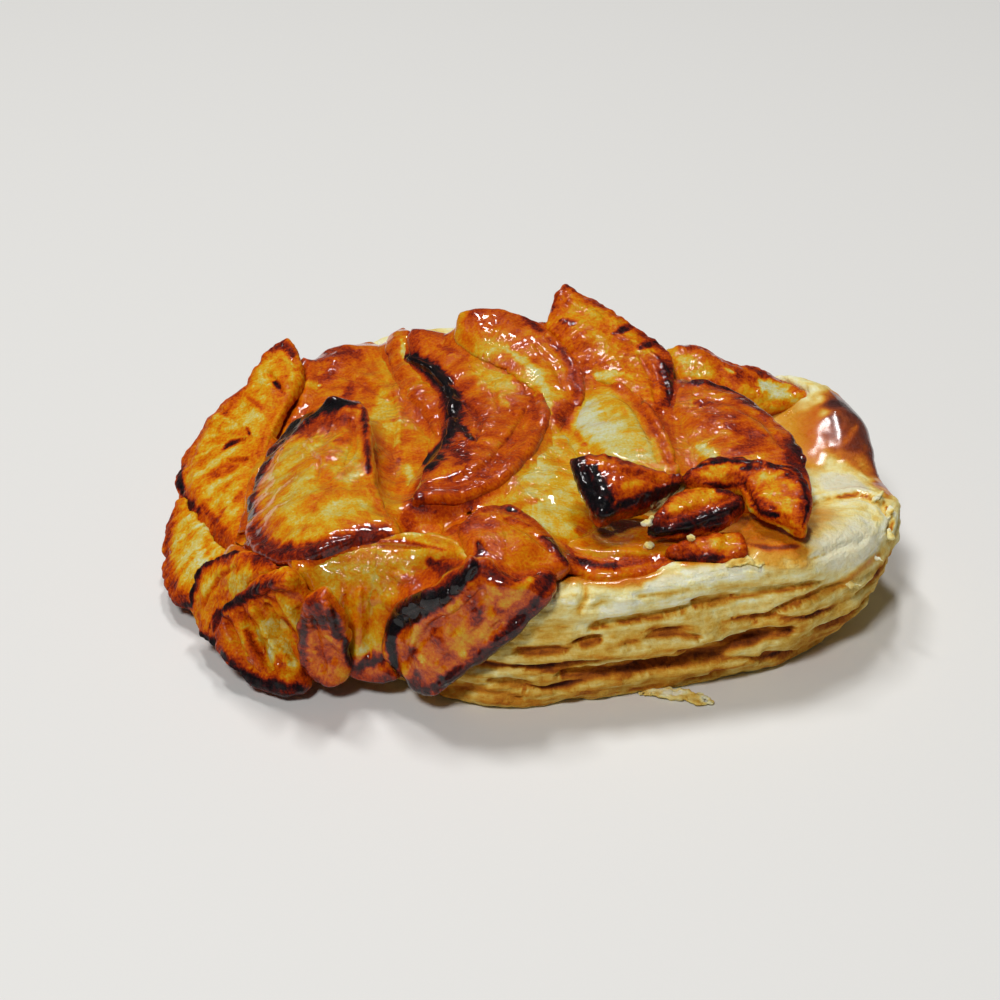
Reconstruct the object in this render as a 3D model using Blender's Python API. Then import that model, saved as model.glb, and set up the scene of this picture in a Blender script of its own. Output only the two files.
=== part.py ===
"""An apple tart: baked apple slices heaped on a round of risen puff pastry.

The pastry stands on z = 0 with its centre on the Z axis. The front of the tart faces -Y, and +X is
the side where the bare puffed rim shows. Every length below is in millimetres; MM turns it to metres.
"""

import math
from dataclasses import dataclass

import bmesh
import bpy
from mathutils import Vector, noise

MM = 0.001

# Driving sizes of the pastry. A SHARE is of the pastry's radius or height at the same angle.
LAYER_COUNT = 6
LAYER_DEPTH = 1.5  # how far the sheets of pastry stand out and draw back
LAYER_WAVE = 0.8  # how far the sheets wander up and down round the side
RIDGE_SHARE = 0.5  # how much of the layers' relief is even, and not left to chance
SIDE_SHARE = 0.86
CREST_RADIUS_SHARE = 0.90
FLOOR_RADIUS_SHARE = 0.72
FLOOR_HEIGHT = 16.5
BACK_MOUND = (2.0, 24.0, 42.0, 9.0)  # where the floor has puffed up: x, y, radius and height
HOOK_MOUND = (34.0, -21.0, 13.0, 4.5)
PASTRY_SEGMENTS = 60
UNDERSIDE_SHARE = 0.55
SHOULDER = ((0.975, 0.94), (0.945, 0.985))  # the section's corner, in shares of radius and height
CREST_END_SHARE = 0.83
FLOOR_RINGS = (0.76, 0.64, 0.5, 0.34, 0.17, 0.0)
BULGE_LOWEST = 0.45  # the share of the height where an upright side is widest
BULGE_RISE = 0.03  # how much higher that is for each millimetre that the side leans out
BULGE_HIGHEST = 0.85
BULGE_FULLNESS = 0.8
SHEET_SWAY = 2.2  # how often a sheet wanders up and down, for each turn of one radian
EDGE_SWAY = 4.0  # how often it stands out and draws back
RIPPLE_SWAY = 5.0
SHEET_CHANGE = 1.7  # how unlike two neighbouring sheets are
TINY = 0.0001  # less than any real share of a size

# Driving sizes of the apple slices
SLICE_THICKNESS = 3.2
EDGE_INSET_SHARE = 0.25  # how much of the thickness the edge is rounded off by, above and below
CORE_END_SHARE = 0.05  # how far from its tips the core side starts, so that the tips are blunt
WRINKLE_HEIGHT = 0.6
WRINKLE_LENGTH = 9.0
SLICE_STEPS_ALONG = 12
SLICE_STEPS_ACROSS = 4
SLOPE_STEP = 0.05  # the share of its length over which a slice's slope is measured
TIP_SLOPE_SHARE = 0.2  # nearer to a tip than this, the slope is taken from here

CLEARANCE = 0.35  # the gap left round each piece
MERGE = 0.003


@dataclass(frozen=True)
class RimStation:
    """The baked outline of the pastry at one angle, in degrees anticlockwise from +X."""

    angle: float
    base_radius: float
    widest_radius: float
    height: float


RIM_STATIONS = (
    RimStation(-165, 38.0, 42.0, 14.0),
    RimStation(-135, 37.5, 40.5, 13.0),
    RimStation(-112, 41.0, 42.5, 14.0),
    RimStation(-97, 42.0, 43.0, 17.0),
    RimStation(-83, 40.5, 42.5, 19.0),
    RimStation(-68, 40.5, 43.0, 20.0),
    RimStation(-54, 43.0, 46.0, 20.5),
    RimStation(-40, 46.5, 51.5, 20.5),
    RimStation(-28, 49.0, 54.5, 19.5),
    RimStation(-16, 46.0, 56.5, 18.0),
    RimStation(-9, 45.0, 56.5, 17.0),
    RimStation(0, 44.0, 53.5, 16.5),
    RimStation(11, 43.0, 54.5, 21.5),
    RimStation(24, 42.0, 54.0, 22.0),
    RimStation(45, 41.0, 47.5, 19.0),
    RimStation(70, 40.5, 45.0, 21.0),
    RimStation(92, 41.5, 46.0, 21.5),
    RimStation(110, 43.5, 51.5, 20.5),
    RimStation(120, 44.0, 52.5, 20.5),
    RimStation(145, 42.5, 47.0, 17.0),
    RimStation(172, 39.5, 44.0, 15.0),
)


@dataclass(frozen=True)
class AppleSlice:
    """One baked apple slice, given by the outline of its upper face.

    The rim is the peel side and the core the cut side, both from the first tip to the second. crown
    lifts the middle of the slice above the straight line from core to rim.
    """

    name: str
    tips: tuple
    rim: tuple
    core: tuple
    crown: float
    thickness: float = SLICE_THICKNESS


# From the top of the heap down: a slice keeps its whole shape, and those after it give way to it.
SLICES = (
    AppleSlice(
        "slice_wedge_burnt",
        tips=((5, -20, 29.5), (22.5, -21, 26)),
        rim=((9.5, -20, 30.5), (15, -20.5, 29)),
        core=((6.5, -26.5, 27.5), (9.5, -31.5, 26.5), (16.5, -27, 26)),
        crown=0.3,
        thickness=4.6,
    ),
    AppleSlice(
        "slice_leaf",
        tips=((15.5, -32, 24.5), (30.5, -26, 25)),
        rim=((19.5, -25.5, 26), (24.5, -23, 26.5), (28.5, -24, 26)),
        core=((20.5, -31.5, 24.5), (26.5, -30, 24.5)),
        crown=0.5,
        thickness=3.6,
    ),
    AppleSlice(
        "slice_hook",
        tips=((21, -19, 25.5), (38, -32, 24)),
        rim=((26, -15, 26.5), (33, -16.5, 27), (38.5, -19.5, 27), (39.5, -26, 26)),
        core=((25, -20.5, 25.5), (29.5, -20.5, 25.5), (31, -25.5, 25), (33.5, -28.5, 24.5)),
        crown=0.4,
    ),
    AppleSlice(
        "slice_under_leaf",
        tips=((18.5, -34, 21.5), (30, -34, 21.5)),
        rim=((22.5, -31, 22.5), (29, -29.5, 22.5)),
        core=((22, -35, 21), (27, -35, 21)),
        crown=0.4,
        thickness=2.8,
    ),
    AppleSlice(
        "slice_front_centre",
        tips=((-11.5, -33, 24.5), (5, -38.5, 21.5)),
        rim=((-9, -28.5, 25.5), (-3.5, -27.5, 25.5), (2, -32, 24)),
        core=((-9.5, -38.5, 23.5), (-4.5, -43, 21.5), (0.5, -41, 20.5)),
        crown=1,
    ),
    AppleSlice(
        "slice_front_folded",
        tips=((3.5, -38, 21.5), (-21.5, -39, 5)),
        rim=((2, -43, 19.5), (-2, -46, 15.5), (-9, -45.5, 9), (-16, -45, 3.5)),
        core=((-3, -45, 22), (-8, -43.5, 24.5), (-16, -44, 19.5), (-21, -39, 13)),
        crown=0.6,
        thickness=3.4,
    ),
    AppleSlice(
        "slice_front_tip",
        tips=((-30, -43.5, 19), (-30, -42, 3)),
        rim=((-33, -43, 17), (-34, -41, 10.5), (-33.5, -41, 5)),
        core=((-28, -44, 16), (-27, -42, 9), (-27.5, -42, 4.5)),
        crown=1,
        thickness=3,
    ),
    AppleSlice(
        "slice_left_drooped",
        tips=((-36, -40.5, 19), (-33.5, -42, 3)),
        rim=((-40, -36, 16.5), (-43.5, -34, 12), (-47, -34, 6), (-43, -38, 3), (-38, -41, 2.5)),
        core=((-32.5, -38.5, 14.5), (-31.5, -37.5, 7)),
        crown=1.2,
    ),
    AppleSlice(
        "slice_left_round",
        tips=((-27.5, 7, 26), (-19.5, -31.5, 23.5)),
        rim=(
            (-31, 8, 25.5), (-37, 8.5, 22.5), (-41, 5, 19), (-43.5, -4.5, 17.5), (-43.5, -15.5, 17.5),
            (-41, -27.5, 18.5), (-36, -34, 20), (-30, -34.5, 21.5), (-24.5, -32.5, 22.5),
        ),
        core=((-26, -0.5, 26), (-25, -10.5, 25.5), (-24, -18.5, 25), (-22, -24.5, 24)),
        crown=1.4,
        thickness=3.4,
    ),
    AppleSlice(
        "slice_front_draped",
        tips=((-35.5, -39, 17.5), (-9, -39.5, 23.5)),
        rim=((-36, -37, 9.5), (-30, -39.5, 5.5), (-23.5, -41.5, 3.5), (-17, -41, 6), (-11.5, -40.5, 15)),
        core=((-35, -36.5, 20), (-32.5, -35, 20.5), (-29, -34, 21.5), (-21.5, -32.5, 23), (-12, -35.5, 23.5)),
        crown=2.2,
    ),
    AppleSlice(
        "slice_left_front",
        tips=((-34, -35, 19.5), (-46.5, -32.5, 4)),
        rim=((-43, -27, 17.5), (-49, -22.5, 12.5), (-52, -23.5, 7), (-50, -28.5, 4.5)),
        core=((-37, -37, 14.5), (-42, -35.5, 8)),
        crown=1.2,
    ),
    AppleSlice(
        "slice_middle_burnt",
        tips=((-20, 34.5, 26), (-18, -22.5, 23.5)),
        rim=(
            (-15, 32, 26.5), (-9.5, 28.5, 26.5), (-4, 23.5, 26), (0, 14, 25.5), (2, 4, 24.5),
            (0, -7, 24), (-4, -15, 23.5), (-9.5, -20.5, 23),
        ),
        core=(
            (-20.5, 27, 24.5), (-17.5, 20.5, 24), (-14, 13, 23.5), (-12.5, 4, 23.5),
            (-14.5, -5, 23.5), (-17, -13.5, 23),
        ),
        crown=0.6,
    ),
    AppleSlice(
        "slice_middle_pale",
        tips=((8.5, 16.5, 24.5), (21.5, -13.5, 23)),
        rim=((12.5, 14, 25.5), (16, 9, 25.5), (18.5, 2.5, 25), (20, -5, 24.5)),
        core=((6, 11, 23.5), (5, 1.5, 23), (8.5, -9, 23)),
        crown=0.6,
        thickness=3,
    ),
    AppleSlice(
        "slice_back_centre",
        tips=((-12, 31.5, 30), (3.5, -0.5, 23.5)),
        rim=((-5, 30.5, 31), (1.5, 27, 30), (6, 19.5, 27.5), (8, 10.5, 25.5)),
        core=((-13, 27.5, 27.5), (-9, 16.5, 24.5), (-3.5, 5, 23)),
        crown=0.8,
    ),
    AppleSlice(
        "slice_back_peak",
        tips=((5.5, 37, 33), (21, 5.5, 24)),
        rim=((11, 33.5, 31.5), (17, 27.5, 29.5), (22, 21.5, 27.5), (22.5, 14, 25.5)),
        core=((2.5, 27, 30), (7, 17.5, 26.5), (11, 9, 24), (16, 5, 23)),
        crown=0.6,
    ),
    AppleSlice(
        "slice_right_glazed",
        tips=((22, 15, 24.5), (40.5, -17, 23)),
        rim=((27, 15.5, 25.5), (33.5, 9.5, 25.5), (38.5, -0.5, 25), (40.5, -10, 24.5)),
        core=((21, 3, 23), (22.5, -10.5, 22), (30, -19, 21.5), (36.5, -20.5, 21.5)),
        crown=1,
    ),
    AppleSlice(
        "slice_middle_low",
        tips=((4.5, 13, 22.5), (-6.5, -29.5, 21.5)),
        rim=((10, -2.5, 21.5), (11, -18, 21), (5.5, -29, 21)),
        core=((0.5, 8.5, 23), (-4.5, -11.5, 22.5), (-8, -24.5, 22)),
        crown=0.5,
        thickness=3,
    ),
    AppleSlice(
        "slice_front_low",
        tips=((0, -26.5, 20.5), (25, -31.5, 20)),
        rim=((5, -18, 20), (12.5, -17, 20), (20, -22.5, 20)),
        core=((5.5, -36.5, 20), (11.5, -38, 20), (18.5, -35.5, 20)),
        crown=0.4,
        thickness=2.8,
    ),
    AppleSlice(
        "slice_right_back",
        tips=((22, 26.5, 26), (46, 18.5, 20.5)),
        rim=((27, 27, 26.5), (32.5, 25, 24.5), (40.5, 24, 22)),
        core=((24, 17.5, 23), (31, 14.5, 21.5), (38.5, 15.5, 20.5)),
        crown=0.6,
    ),
    AppleSlice(
        "slice_left_inner",
        tips=((-21.5, 38, 25), (-14.5, 1, 21)),
        rim=((-24.5, 35, 23.5), (-23, 25, 22.5), (-19, 13.5, 22)),
        core=((-17, 29, 24), (-13.5, 15, 22.5)),
        crown=0.5,
        thickness=3,
    ),
    AppleSlice(
        "slice_left_glazed",
        tips=((-27, 39.5, 22), (-14, -27.5, 20.5)),
        rim=((-35.5, 36, 21), (-40, 29, 20), (-41.5, 20, 17.5), (-36, -2, 16), (-25.5, -21.5, 17.5)),
        core=((-19.5, 27.5, 22), (-14, 10.5, 21), (-12, -10.5, 20.5)),
        crown=1.2,
    ),
    AppleSlice(
        "slice_left_back",
        tips=((-41, 33, 25), (-44, -19.5, 12.5)),
        rim=(
            (-45, 31.5, 22.5), (-47.5, 26, 19.5), (-53, 23.5, 15), (-58, 14, 10), (-55.5, 2, 9.5),
            (-50.5, -9, 10.5),
        ),
        core=(
            (-38.5, 27, 23.5), (-39.5, 19, 21.5), (-42, 10.5, 18.5), (-43.5, -0.5, 16),
            (-43.5, -10.5, 14.5),
        ),
        crown=0.8,
    ),
    AppleSlice(
        "slice_left_low",
        tips=((-56, 5.5, 10), (-52, -20.5, 3.5)),
        rim=((-58, 2, 7), (-58, -8, 5), (-56, -16, 4)),
        core=((-47.5, -10, 11.5), (-44.5, -20, 10.5), (-47, -23, 6.5)),
        crown=1,
        thickness=3,
    ),
)


def main():
    clear_scene()
    tart = bpy.data.objects.new("apple_tart", None)
    bpy.context.scene.collection.objects.link(tart)
    flesh = make_material("baked_apple", (0.78, 0.36, 0.05), 0.35)
    crust = make_material("puff_pastry", (0.83, 0.62, 0.33), 0.7)
    above = bpy.data.collections.new("slices_above")
    bpy.context.scene.collection.children.link(above)
    for spec in SLICES:
        whole = add_object(spec.name, slice_mesh(spec, 0.0), flesh, tart)
        cut_away(whole, above)
        cutter = add_object(spec.name + "_room", slice_mesh(spec, CLEARANCE), flesh, tart)
        make_cutter(cutter, above)
    cut_away(add_object("pastry", pastry_mesh(), crust, tart), above)
    for cutter in list(above.objects):
        bpy.data.objects.remove(cutter)
    bpy.data.collections.remove(above)


def clear_scene():
    for obj in list(bpy.data.objects):
        bpy.data.objects.remove(obj)


def make_material(name, color, roughness):
    material = bpy.data.materials.new(name)
    material.use_nodes = True
    shader = material.node_tree.nodes["Principled BSDF"]
    shader.inputs["Base Color"].default_value = (*color, 1.0)
    shader.inputs["Roughness"].default_value = roughness
    shader.inputs["Metallic"].default_value = 0.0
    return material


def add_object(name, mesh, material, parent):
    obj = bpy.data.objects.new(name, mesh)
    bpy.context.scene.collection.objects.link(obj)
    obj.parent = parent
    mesh.materials.append(material)
    mesh.shade_smooth()
    mesh.set_sharp_from_angle(angle=math.radians(50))
    return obj


def make_cutter(obj, collection):
    """Moves obj into the collection of cutters, where it is only a guide and never a part."""
    bpy.context.scene.collection.objects.unlink(obj)
    collection.objects.link(obj)
    obj.hide_render = True
    obj.display_type = "WIRE"


def cut_away(obj, above):
    """Cuts the room of each slice above out of obj, and drops any scrap that this cuts off."""
    for cutter in above.objects:
        cut = obj.modifiers.new("room_for_slice_above", "BOOLEAN")
        cut.operation = "DIFFERENCE"
        cut.object = cutter
        cut.solver = "EXACT"
        bpy.context.view_layer.update()
        graph = bpy.context.evaluated_depsgraph_get()
        mesh = bpy.data.meshes.new_from_object(obj.evaluated_get(graph))
        obj.modifiers.remove(cut)
        old = obj.data
        obj.data = mesh
        bpy.data.meshes.remove(old)
        keep_largest_body(mesh)


def keep_largest_body(mesh):
    """Merges what a cut left too small to matter, and keeps only the body with the most surface."""
    bm = bmesh.new()
    bm.from_mesh(mesh)
    bmesh.ops.remove_doubles(bm, verts=bm.verts, dist=MERGE * MM)
    bmesh.ops.dissolve_degenerate(bm, edges=bm.edges, dist=MERGE * MM)
    bmesh.ops.triangulate(bm, faces=bm.faces)
    bodies = []
    unseen = set(bm.faces)
    while unseen:
        front = [unseen.pop()]
        body = list(front)
        while front:
            for edge in front.pop().edges:
                for face in edge.link_faces:
                    if face in unseen:
                        unseen.remove(face)
                        body.append(face)
                        front.append(face)
        bodies.append(body)
    bodies.sort(key=lambda body: sum(face.calc_area() for face in body), reverse=True)
    for scrap in bodies[1:]:
        bmesh.ops.delete(bm, geom=scrap, context="FACES")
    bm.to_mesh(mesh)
    bm.free()


def slice_mesh(spec, clearance):
    """A closed slice, swollen by clearance: a flat grid extruded to a plate and then bent into place."""
    bm = bmesh.new()
    bmesh.ops.create_grid(bm, x_segments=SLICE_STEPS_ALONG, y_segments=SLICE_STEPS_ACROSS, size=0.5)
    top = bmesh.ops.extrude_face_region(bm, geom=bm.faces[:])
    raised = [part for part in top["geom"] if isinstance(part, bmesh.types.BMVert)]
    bmesh.ops.translate(bm, vec=(0, 0, 1), verts=raised)
    place = slice_placer(spec)
    for vert in bm.verts:
        vert.co = place(vert.co.x + 0.5, vert.co.y + 0.5, vert.co.z > 0.5) * MM
    turn_outward(bm)
    swollen = [vert.co + vert.normal * vert.calc_shell_factor() * clearance * MM for vert in bm.verts]
    for vert, place_now in zip(bm.verts, swollen):
        vert.co = place_now
    mesh = bpy.data.meshes.new(spec.name)
    bm.to_mesh(mesh)
    bm.free()
    return mesh


def turn_outward(bm):
    bmesh.ops.recalc_face_normals(bm, faces=bm.faces)
    if bm.calc_volume(signed=True) < 0:
        bmesh.ops.reverse_faces(bm, faces=bm.faces)
    bm.normal_update()


def slice_placer(spec):
    """Returns the function that takes a point of the slice's flat grid to its place on the tart."""
    rim = smooth_curve((spec.tips[0], *spec.rim, spec.tips[1]))
    core = smooth_curve((spec.tips[0], *spec.core, spec.tips[1]))

    def on_face(along, across):
        start = core(CORE_END_SHARE + along * (1 - 2 * CORE_END_SHARE))
        lift = 4 * across * (1 - across) * math.sin(math.pi * along)
        return start + (rim(along) - start) * across + Vector((0, 0, spec.crown * lift))

    def normal_at(along):
        middle = max(TIP_SLOPE_SHARE, min(1 - TIP_SLOPE_SHARE, along))
        lengthwise = on_face(middle + SLOPE_STEP, 0.5) - on_face(middle - SLOPE_STEP, 0.5)
        crosswise = on_face(middle, 1.0) - on_face(middle, 0.0)
        return lengthwise.cross(crosswise).normalized()

    upward = math.copysign(1.0, normal_at(0.5).dot(on_face(0.5, 0.5)))

    def place(along, across, is_top):
        point = on_face(along, across)
        normal = normal_at(along) * upward
        point += normal * WRINKLE_HEIGHT * noise.noise(point / WRINKLE_LENGTH)
        inset = spec.thickness * EDGE_INSET_SHARE if across in (0, 1) or along in (0, 1) else 0.0
        return point + normal * (-inset if is_top else inset - spec.thickness)

    return place


def smooth_curve(points):
    """Returns the function that takes a share of its length to a place on a curve through points."""
    points = [Vector(point) for point in points]
    lengths = [(b - a).length for a, b in zip(points, points[1:])]
    total = sum(lengths)

    def at(share):
        left = share * total
        index = 0
        while index < len(lengths) - 1 and left > lengths[index]:
            left -= lengths[index]
            index += 1
        t = min(1.0, left / lengths[index])
        start, end = points[index], points[index + 1]
        before = points[max(0, index - 1)]
        after = points[min(len(points) - 1, index + 2)]
        leaving, arriving = (end - before) / 2, (after - start) / 2
        return (
            start * (2 * t**3 - 3 * t**2 + 1)
            + end * (3 * t**2 - 2 * t**3)
            + leaving * (t**3 - 2 * t**2 + t)
            + arriving * (t**3 - t**2)
        )

    return at


def smooth_step(low, high, value):
    share = max(0.0, min(1.0, (value - low) / (high - low)))
    return share * share * (3 - 2 * share)


def rim_at(angle):
    """The pastry's base radius, widest radius and height at this angle."""
    stations = list(RIM_STATIONS)
    first = stations[0]
    stations.append(
        RimStation(first.angle + 360, first.base_radius, first.widest_radius, first.height)
    )
    if angle < first.angle:
        angle += 360
    for start, end in zip(stations, stations[1:]):
        if start.angle <= angle <= end.angle:
            share = smooth_step(start.angle, end.angle, angle)
            return (
                start.base_radius + (end.base_radius - start.base_radius) * share,
                start.widest_radius + (end.widest_radius - start.widest_radius) * share,
                start.height + (end.height - start.height) * share,
            )
    raise ValueError(angle)


def pastry_profile():
    """The section of a round, even pastry as (share of its radius, share of its height), from the middle
    of the underside, out and up over the layered side, over the rim and in along the floor."""
    rows = LAYER_COUNT * 2
    points = [(0.0, 0.0), (UNDERSIDE_SHARE, 0.0)]
    points += [(1.0, SIDE_SHARE * row / rows) for row in range(rows + 1)]
    points += [*SHOULDER, (CREST_RADIUS_SHARE, 1.0), (CREST_END_SHARE, 1.0)]
    points += [(share, 1.0) for share in FLOOR_RINGS]
    return points


def pastry_mesh():
    """The pastry: its section spun round Z, then each point moved to where the oven took it."""
    bm = bmesh.new()
    verts = [bm.verts.new((radius, 0, height)) for radius, height in pastry_profile()]
    edges = [bm.edges.new(pair) for pair in zip(verts, verts[1:])]
    bmesh.ops.spin(
        bm,
        geom=verts + edges,
        cent=(0, 0, 0),
        axis=(0, 0, 1),
        angle=2 * math.pi,
        steps=PASTRY_SEGMENTS,
        use_merge=True,
    )
    bmesh.ops.remove_doubles(bm, verts=bm.verts, dist=TINY)
    for vert in bm.verts:
        vert.co = bake_point(vert.co) * MM
    turn_outward(bm)
    mesh = bpy.data.meshes.new("pastry")
    bm.to_mesh(mesh)
    bm.free()
    return mesh


def bake_point(even):
    """Where a point of the round, even pastry ends up in the risen, uneven one."""
    share = math.hypot(even.x, even.y)
    angle = math.atan2(even.y, even.x)
    base_radius, widest_radius, height = rim_at(math.degrees(angle))
    direction = Vector((math.cos(angle), math.sin(angle), 0))
    if even.z < TINY:
        return direction * share * base_radius
    if share < 1 - TINY:
        radius = share * widest_radius
        place = direction * radius
        floor = floor_height(place)
        on_rim = smooth_step(FLOOR_RADIUS_SHARE, CREST_RADIUS_SHARE, share)
        return place + Vector((0, 0, floor + (height * even.z - floor) * on_rim))
    flare = widest_radius - base_radius
    widest_at = min(BULGE_HIGHEST, BULGE_LOWEST + BULGE_RISE * flare)
    bulge = math.sin(math.pi / 2 * min(1.0, even.z / widest_at)) ** BULGE_FULLNESS
    radius = base_radius + flare * bulge
    layer = LAYER_COUNT * even.z / SIDE_SHARE + LAYER_WAVE * noise.noise(direction * SHEET_SWAY)
    ridge = RIDGE_SHARE * math.cos(2 * math.pi * layer)
    edge = noise.noise(direction * EDGE_SWAY + Vector((0, 0, layer * SHEET_CHANGE)))
    radius += LAYER_DEPTH * (ridge + edge)
    ripple = LAYER_WAVE * noise.noise(direction * RIPPLE_SWAY + Vector((3, 0, layer)))
    return direction * radius + Vector((0, 0, height * even.z + ripple))


def floor_height(place):
    """How high the pastry has puffed up under the apples."""
    height = FLOOR_HEIGHT
    for x, y, radius, rise in (BACK_MOUND, HOOK_MOUND):
        from_middle = (place - Vector((x, y, 0))).length / radius
        height += rise * (1 - smooth_step(0.0, 1.0, from_middle))
    return height


main()
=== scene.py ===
import logging
import math
from dataclasses import dataclass
from enum import Enum

import bpy
import numpy as np
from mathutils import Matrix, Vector, noise
from mathutils.kdtree import KDTree


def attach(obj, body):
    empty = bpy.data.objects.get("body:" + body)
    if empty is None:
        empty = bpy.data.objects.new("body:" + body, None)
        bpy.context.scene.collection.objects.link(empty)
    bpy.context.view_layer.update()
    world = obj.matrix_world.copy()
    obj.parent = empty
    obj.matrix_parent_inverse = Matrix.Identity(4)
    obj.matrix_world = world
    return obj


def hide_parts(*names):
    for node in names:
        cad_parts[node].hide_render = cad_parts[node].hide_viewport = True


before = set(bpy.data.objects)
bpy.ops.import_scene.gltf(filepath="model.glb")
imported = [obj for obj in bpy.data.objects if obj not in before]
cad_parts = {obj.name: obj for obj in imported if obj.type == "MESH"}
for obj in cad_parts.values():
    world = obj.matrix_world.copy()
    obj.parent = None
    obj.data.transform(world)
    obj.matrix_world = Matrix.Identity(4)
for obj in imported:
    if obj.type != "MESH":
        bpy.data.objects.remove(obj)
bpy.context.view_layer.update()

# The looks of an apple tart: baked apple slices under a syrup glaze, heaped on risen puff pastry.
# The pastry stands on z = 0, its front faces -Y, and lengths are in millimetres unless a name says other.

MM = 0.001
log = logging.getLogger("apple_tart")

Pixel = tuple[float, float]
Place = tuple[float, float, float]
Span = tuple[float, float]
Stops = tuple[tuple[float, str], ...]
Socket = bpy.types.NodeSocket


class Bake(Enum):
    """How far the oven took a place, from raw at 0 to charcoal at 1, in the order the colour changes."""

    CREAM = 0.02
    STRAW = 0.12
    YELLOW = 0.22
    HONEY = 0.32
    GOLD = 0.42
    AMBER = 0.52
    RUST = 0.62
    BROWN = 0.72
    SCORCH = 0.82
    BURNT = 0.92
    CHAR = 1.0


CREAM, STRAW, YELLOW, HONEY, GOLD, AMBER, RUST, BROWN, SCORCH, BURNT, CHAR = Bake


@dataclass(frozen=True)
class Mark:
    """A stroke over a piece, as the photograph shows it: a scorch, a pale patch, a lip or a groove.

    run holds photograph pixels, and width is in them too. bake says how done the stroke is, and in a crack
    how dark its painted shade is. It is left out where it only raises the surface by height, in mm, or
    sinks it where height is negative.
    """

    width: float
    run: tuple[Pixel, ...]
    bake: Bake | None = None
    height: float = 0.0


def stain(bake: Bake, width: float, *run: Pixel) -> Mark:
    """A mark that only colours."""
    return Mark(width, run, bake)


def ridge(height: float, width: float, *run: Pixel) -> Mark:
    """A mark that only raises the surface."""
    return Mark(width, run, height=height)


def groove(depth: float, width: float, *run: Pixel) -> Mark:
    """A mark that only sinks the surface."""
    return Mark(width, run, height=-depth)


def shaded_crack(bake: Bake, depth: float, width: float, *run: Pixel) -> Mark:
    """A mark that sinks the surface and darkens it with painted shade."""
    return Mark(width, run, bake, -depth)


def fold(width: float, *run: Pixel) -> Mark:
    """A mark that only says where the syrup's skin folds."""
    return Mark(width, run)


@dataclass(frozen=True)
class PhotoView:
    """Where the photograph was taken from, which turns its pixels to places on the tart, in mm."""

    elevation: float = 28.0
    distance: float = 370.0
    lens: float = 85.0
    sensor: float = 36.0
    look_at: Place = (-5.2, 0.0, 11.4)
    side: float = 1000.0  # pixels each way
    pixel_step: float = 5.0  # a run is laid on a piece at places this many pixels apart
    pixel_reach: float = 3.0  # vertices this much further from a pixel still count as under it
    depth_share: float = 0.3  # how much of a distance ahead counts, next to one across the picture
    end_share: float = 0.45  # how wide a mark is at its ends, of its full width
    taper_power: float = 0.6  # under 1, a mark keeps its width until close to its ends
    fade: float = 1.1  # how far past its half width a mark fades out
    fade_power: int = 3

    def axes(self) -> np.ndarray:
        """The directions to the view's right, up and ahead, one a row."""
        tilt = math.radians(self.elevation)
        up = (0.0, math.sin(tilt), math.cos(tilt))
        ahead = (0.0, math.cos(tilt), -math.sin(tilt))
        return np.array(((1.0, 0.0, 0.0), up, ahead))

    def stand(self) -> np.ndarray:
        """The camera's place."""
        return np.array(self.look_at) - self.axes()[2] * self.distance

    def focal_pixels(self) -> float:
        """How many pixels wide a thing is that is as wide as it is far away."""
        return self.lens / self.sensor * self.side

    def to_mm(self, pixels: float) -> float:
        """The size in mm of what covers this many pixels in the middle of the tart."""
        return pixels * self.distance / self.focal_pixels()

    def see(self, places: np.ndarray) -> tuple[np.ndarray, np.ndarray]:
        """Finds where places show in the photograph.

        Args:
            places: N places in mm.

        Returns:
            N pixels, x to the right and y down, and N depths ahead of the camera in mm.
        """
        across, up, ahead = ((places - self.stand()) @ self.axes().T).T
        pixels = np.stack([across, -up], axis=1) / ahead[:, None] * self.focal_pixels() + self.side / 2
        return pixels, ahead

    def ray(self, pixel: np.ndarray) -> np.ndarray:
        """What to go along, for each mm ahead of the camera, to stay behind this pixel."""
        right, down = (pixel - self.side / 2) / self.focal_pixels()
        return np.array((right, -down, 1.0)) @ self.axes()

    def at_height(self, pixel: Pixel, height: float) -> np.ndarray:
        """The place in mm, this high above the table, that shows at a pixel."""
        ray = self.ray(np.array(pixel))
        return self.stand() + ray * (height - self.stand()[2]) / ray[2]

    def trace(self, places: np.ndarray, run: tuple[Pixel, ...]) -> np.ndarray:
        """Lays a run of pixels on a piece.

        Args:
            places: The piece's vertices in mm.
            run: Photograph pixels, joined by straight lines.

        Returns:
            Places in mm on the side of the piece that faces the camera.
        """
        pixels, depths = self.see(places)
        steps = [np.array(run[0], float)]
        for start, end in zip(run, run[1:]):
            count = max(1, round(math.dist(start, end) / self.pixel_step))
            shares = np.arange(1, count + 1)[:, None] / count
            steps.extend(np.array(start) + (np.array(end) - np.array(start)) * shares)
        path = []
        for step in steps:
            away = np.hypot(*(pixels - step).T)
            depth = depths[away < away.min() + self.pixel_reach].min()
            path.append(self.stand() + self.ray(step) * depth)
        return np.array(path)

    def cover(self, places: np.ndarray, mark: Mark, ragged: np.ndarray | float = 0.0) -> np.ndarray:
        """Lays a mark on a piece, thinner towards its two ends.

        Args:
            places: The piece's vertices in mm.
            mark: The stroke.
            ragged: For each vertex, how much further from the stroke it counts, in half widths.

        Returns:
            How strong the stroke is at each vertex, from 0 to 1.
        """
        squash = self.axes().T * (1.0, 1.0, self.depth_share)
        distance, along = nearest_on_path(places @ squash, self.trace(places, mark.run) @ squash)
        half = self.to_mm(mark.width) / 2
        taper = np.ones(len(places))
        if len(mark.run) > 1:
            length = max(float(along.max()), half / 4)
            blunt = min(1.0, half / length)
            ends = self.end_share + (1 - self.end_share) * blunt
            arch = np.sin(math.pi * np.clip(along / length, 0.0, 1.0)) ** self.taper_power
            taper = ends + (1 - ends) * arch
        reach = np.clip(distance / half + ragged, 0.0, None) / (self.fade * taper)
        return np.exp(-(reach**self.fade_power))


VIEW = PhotoView()


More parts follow.
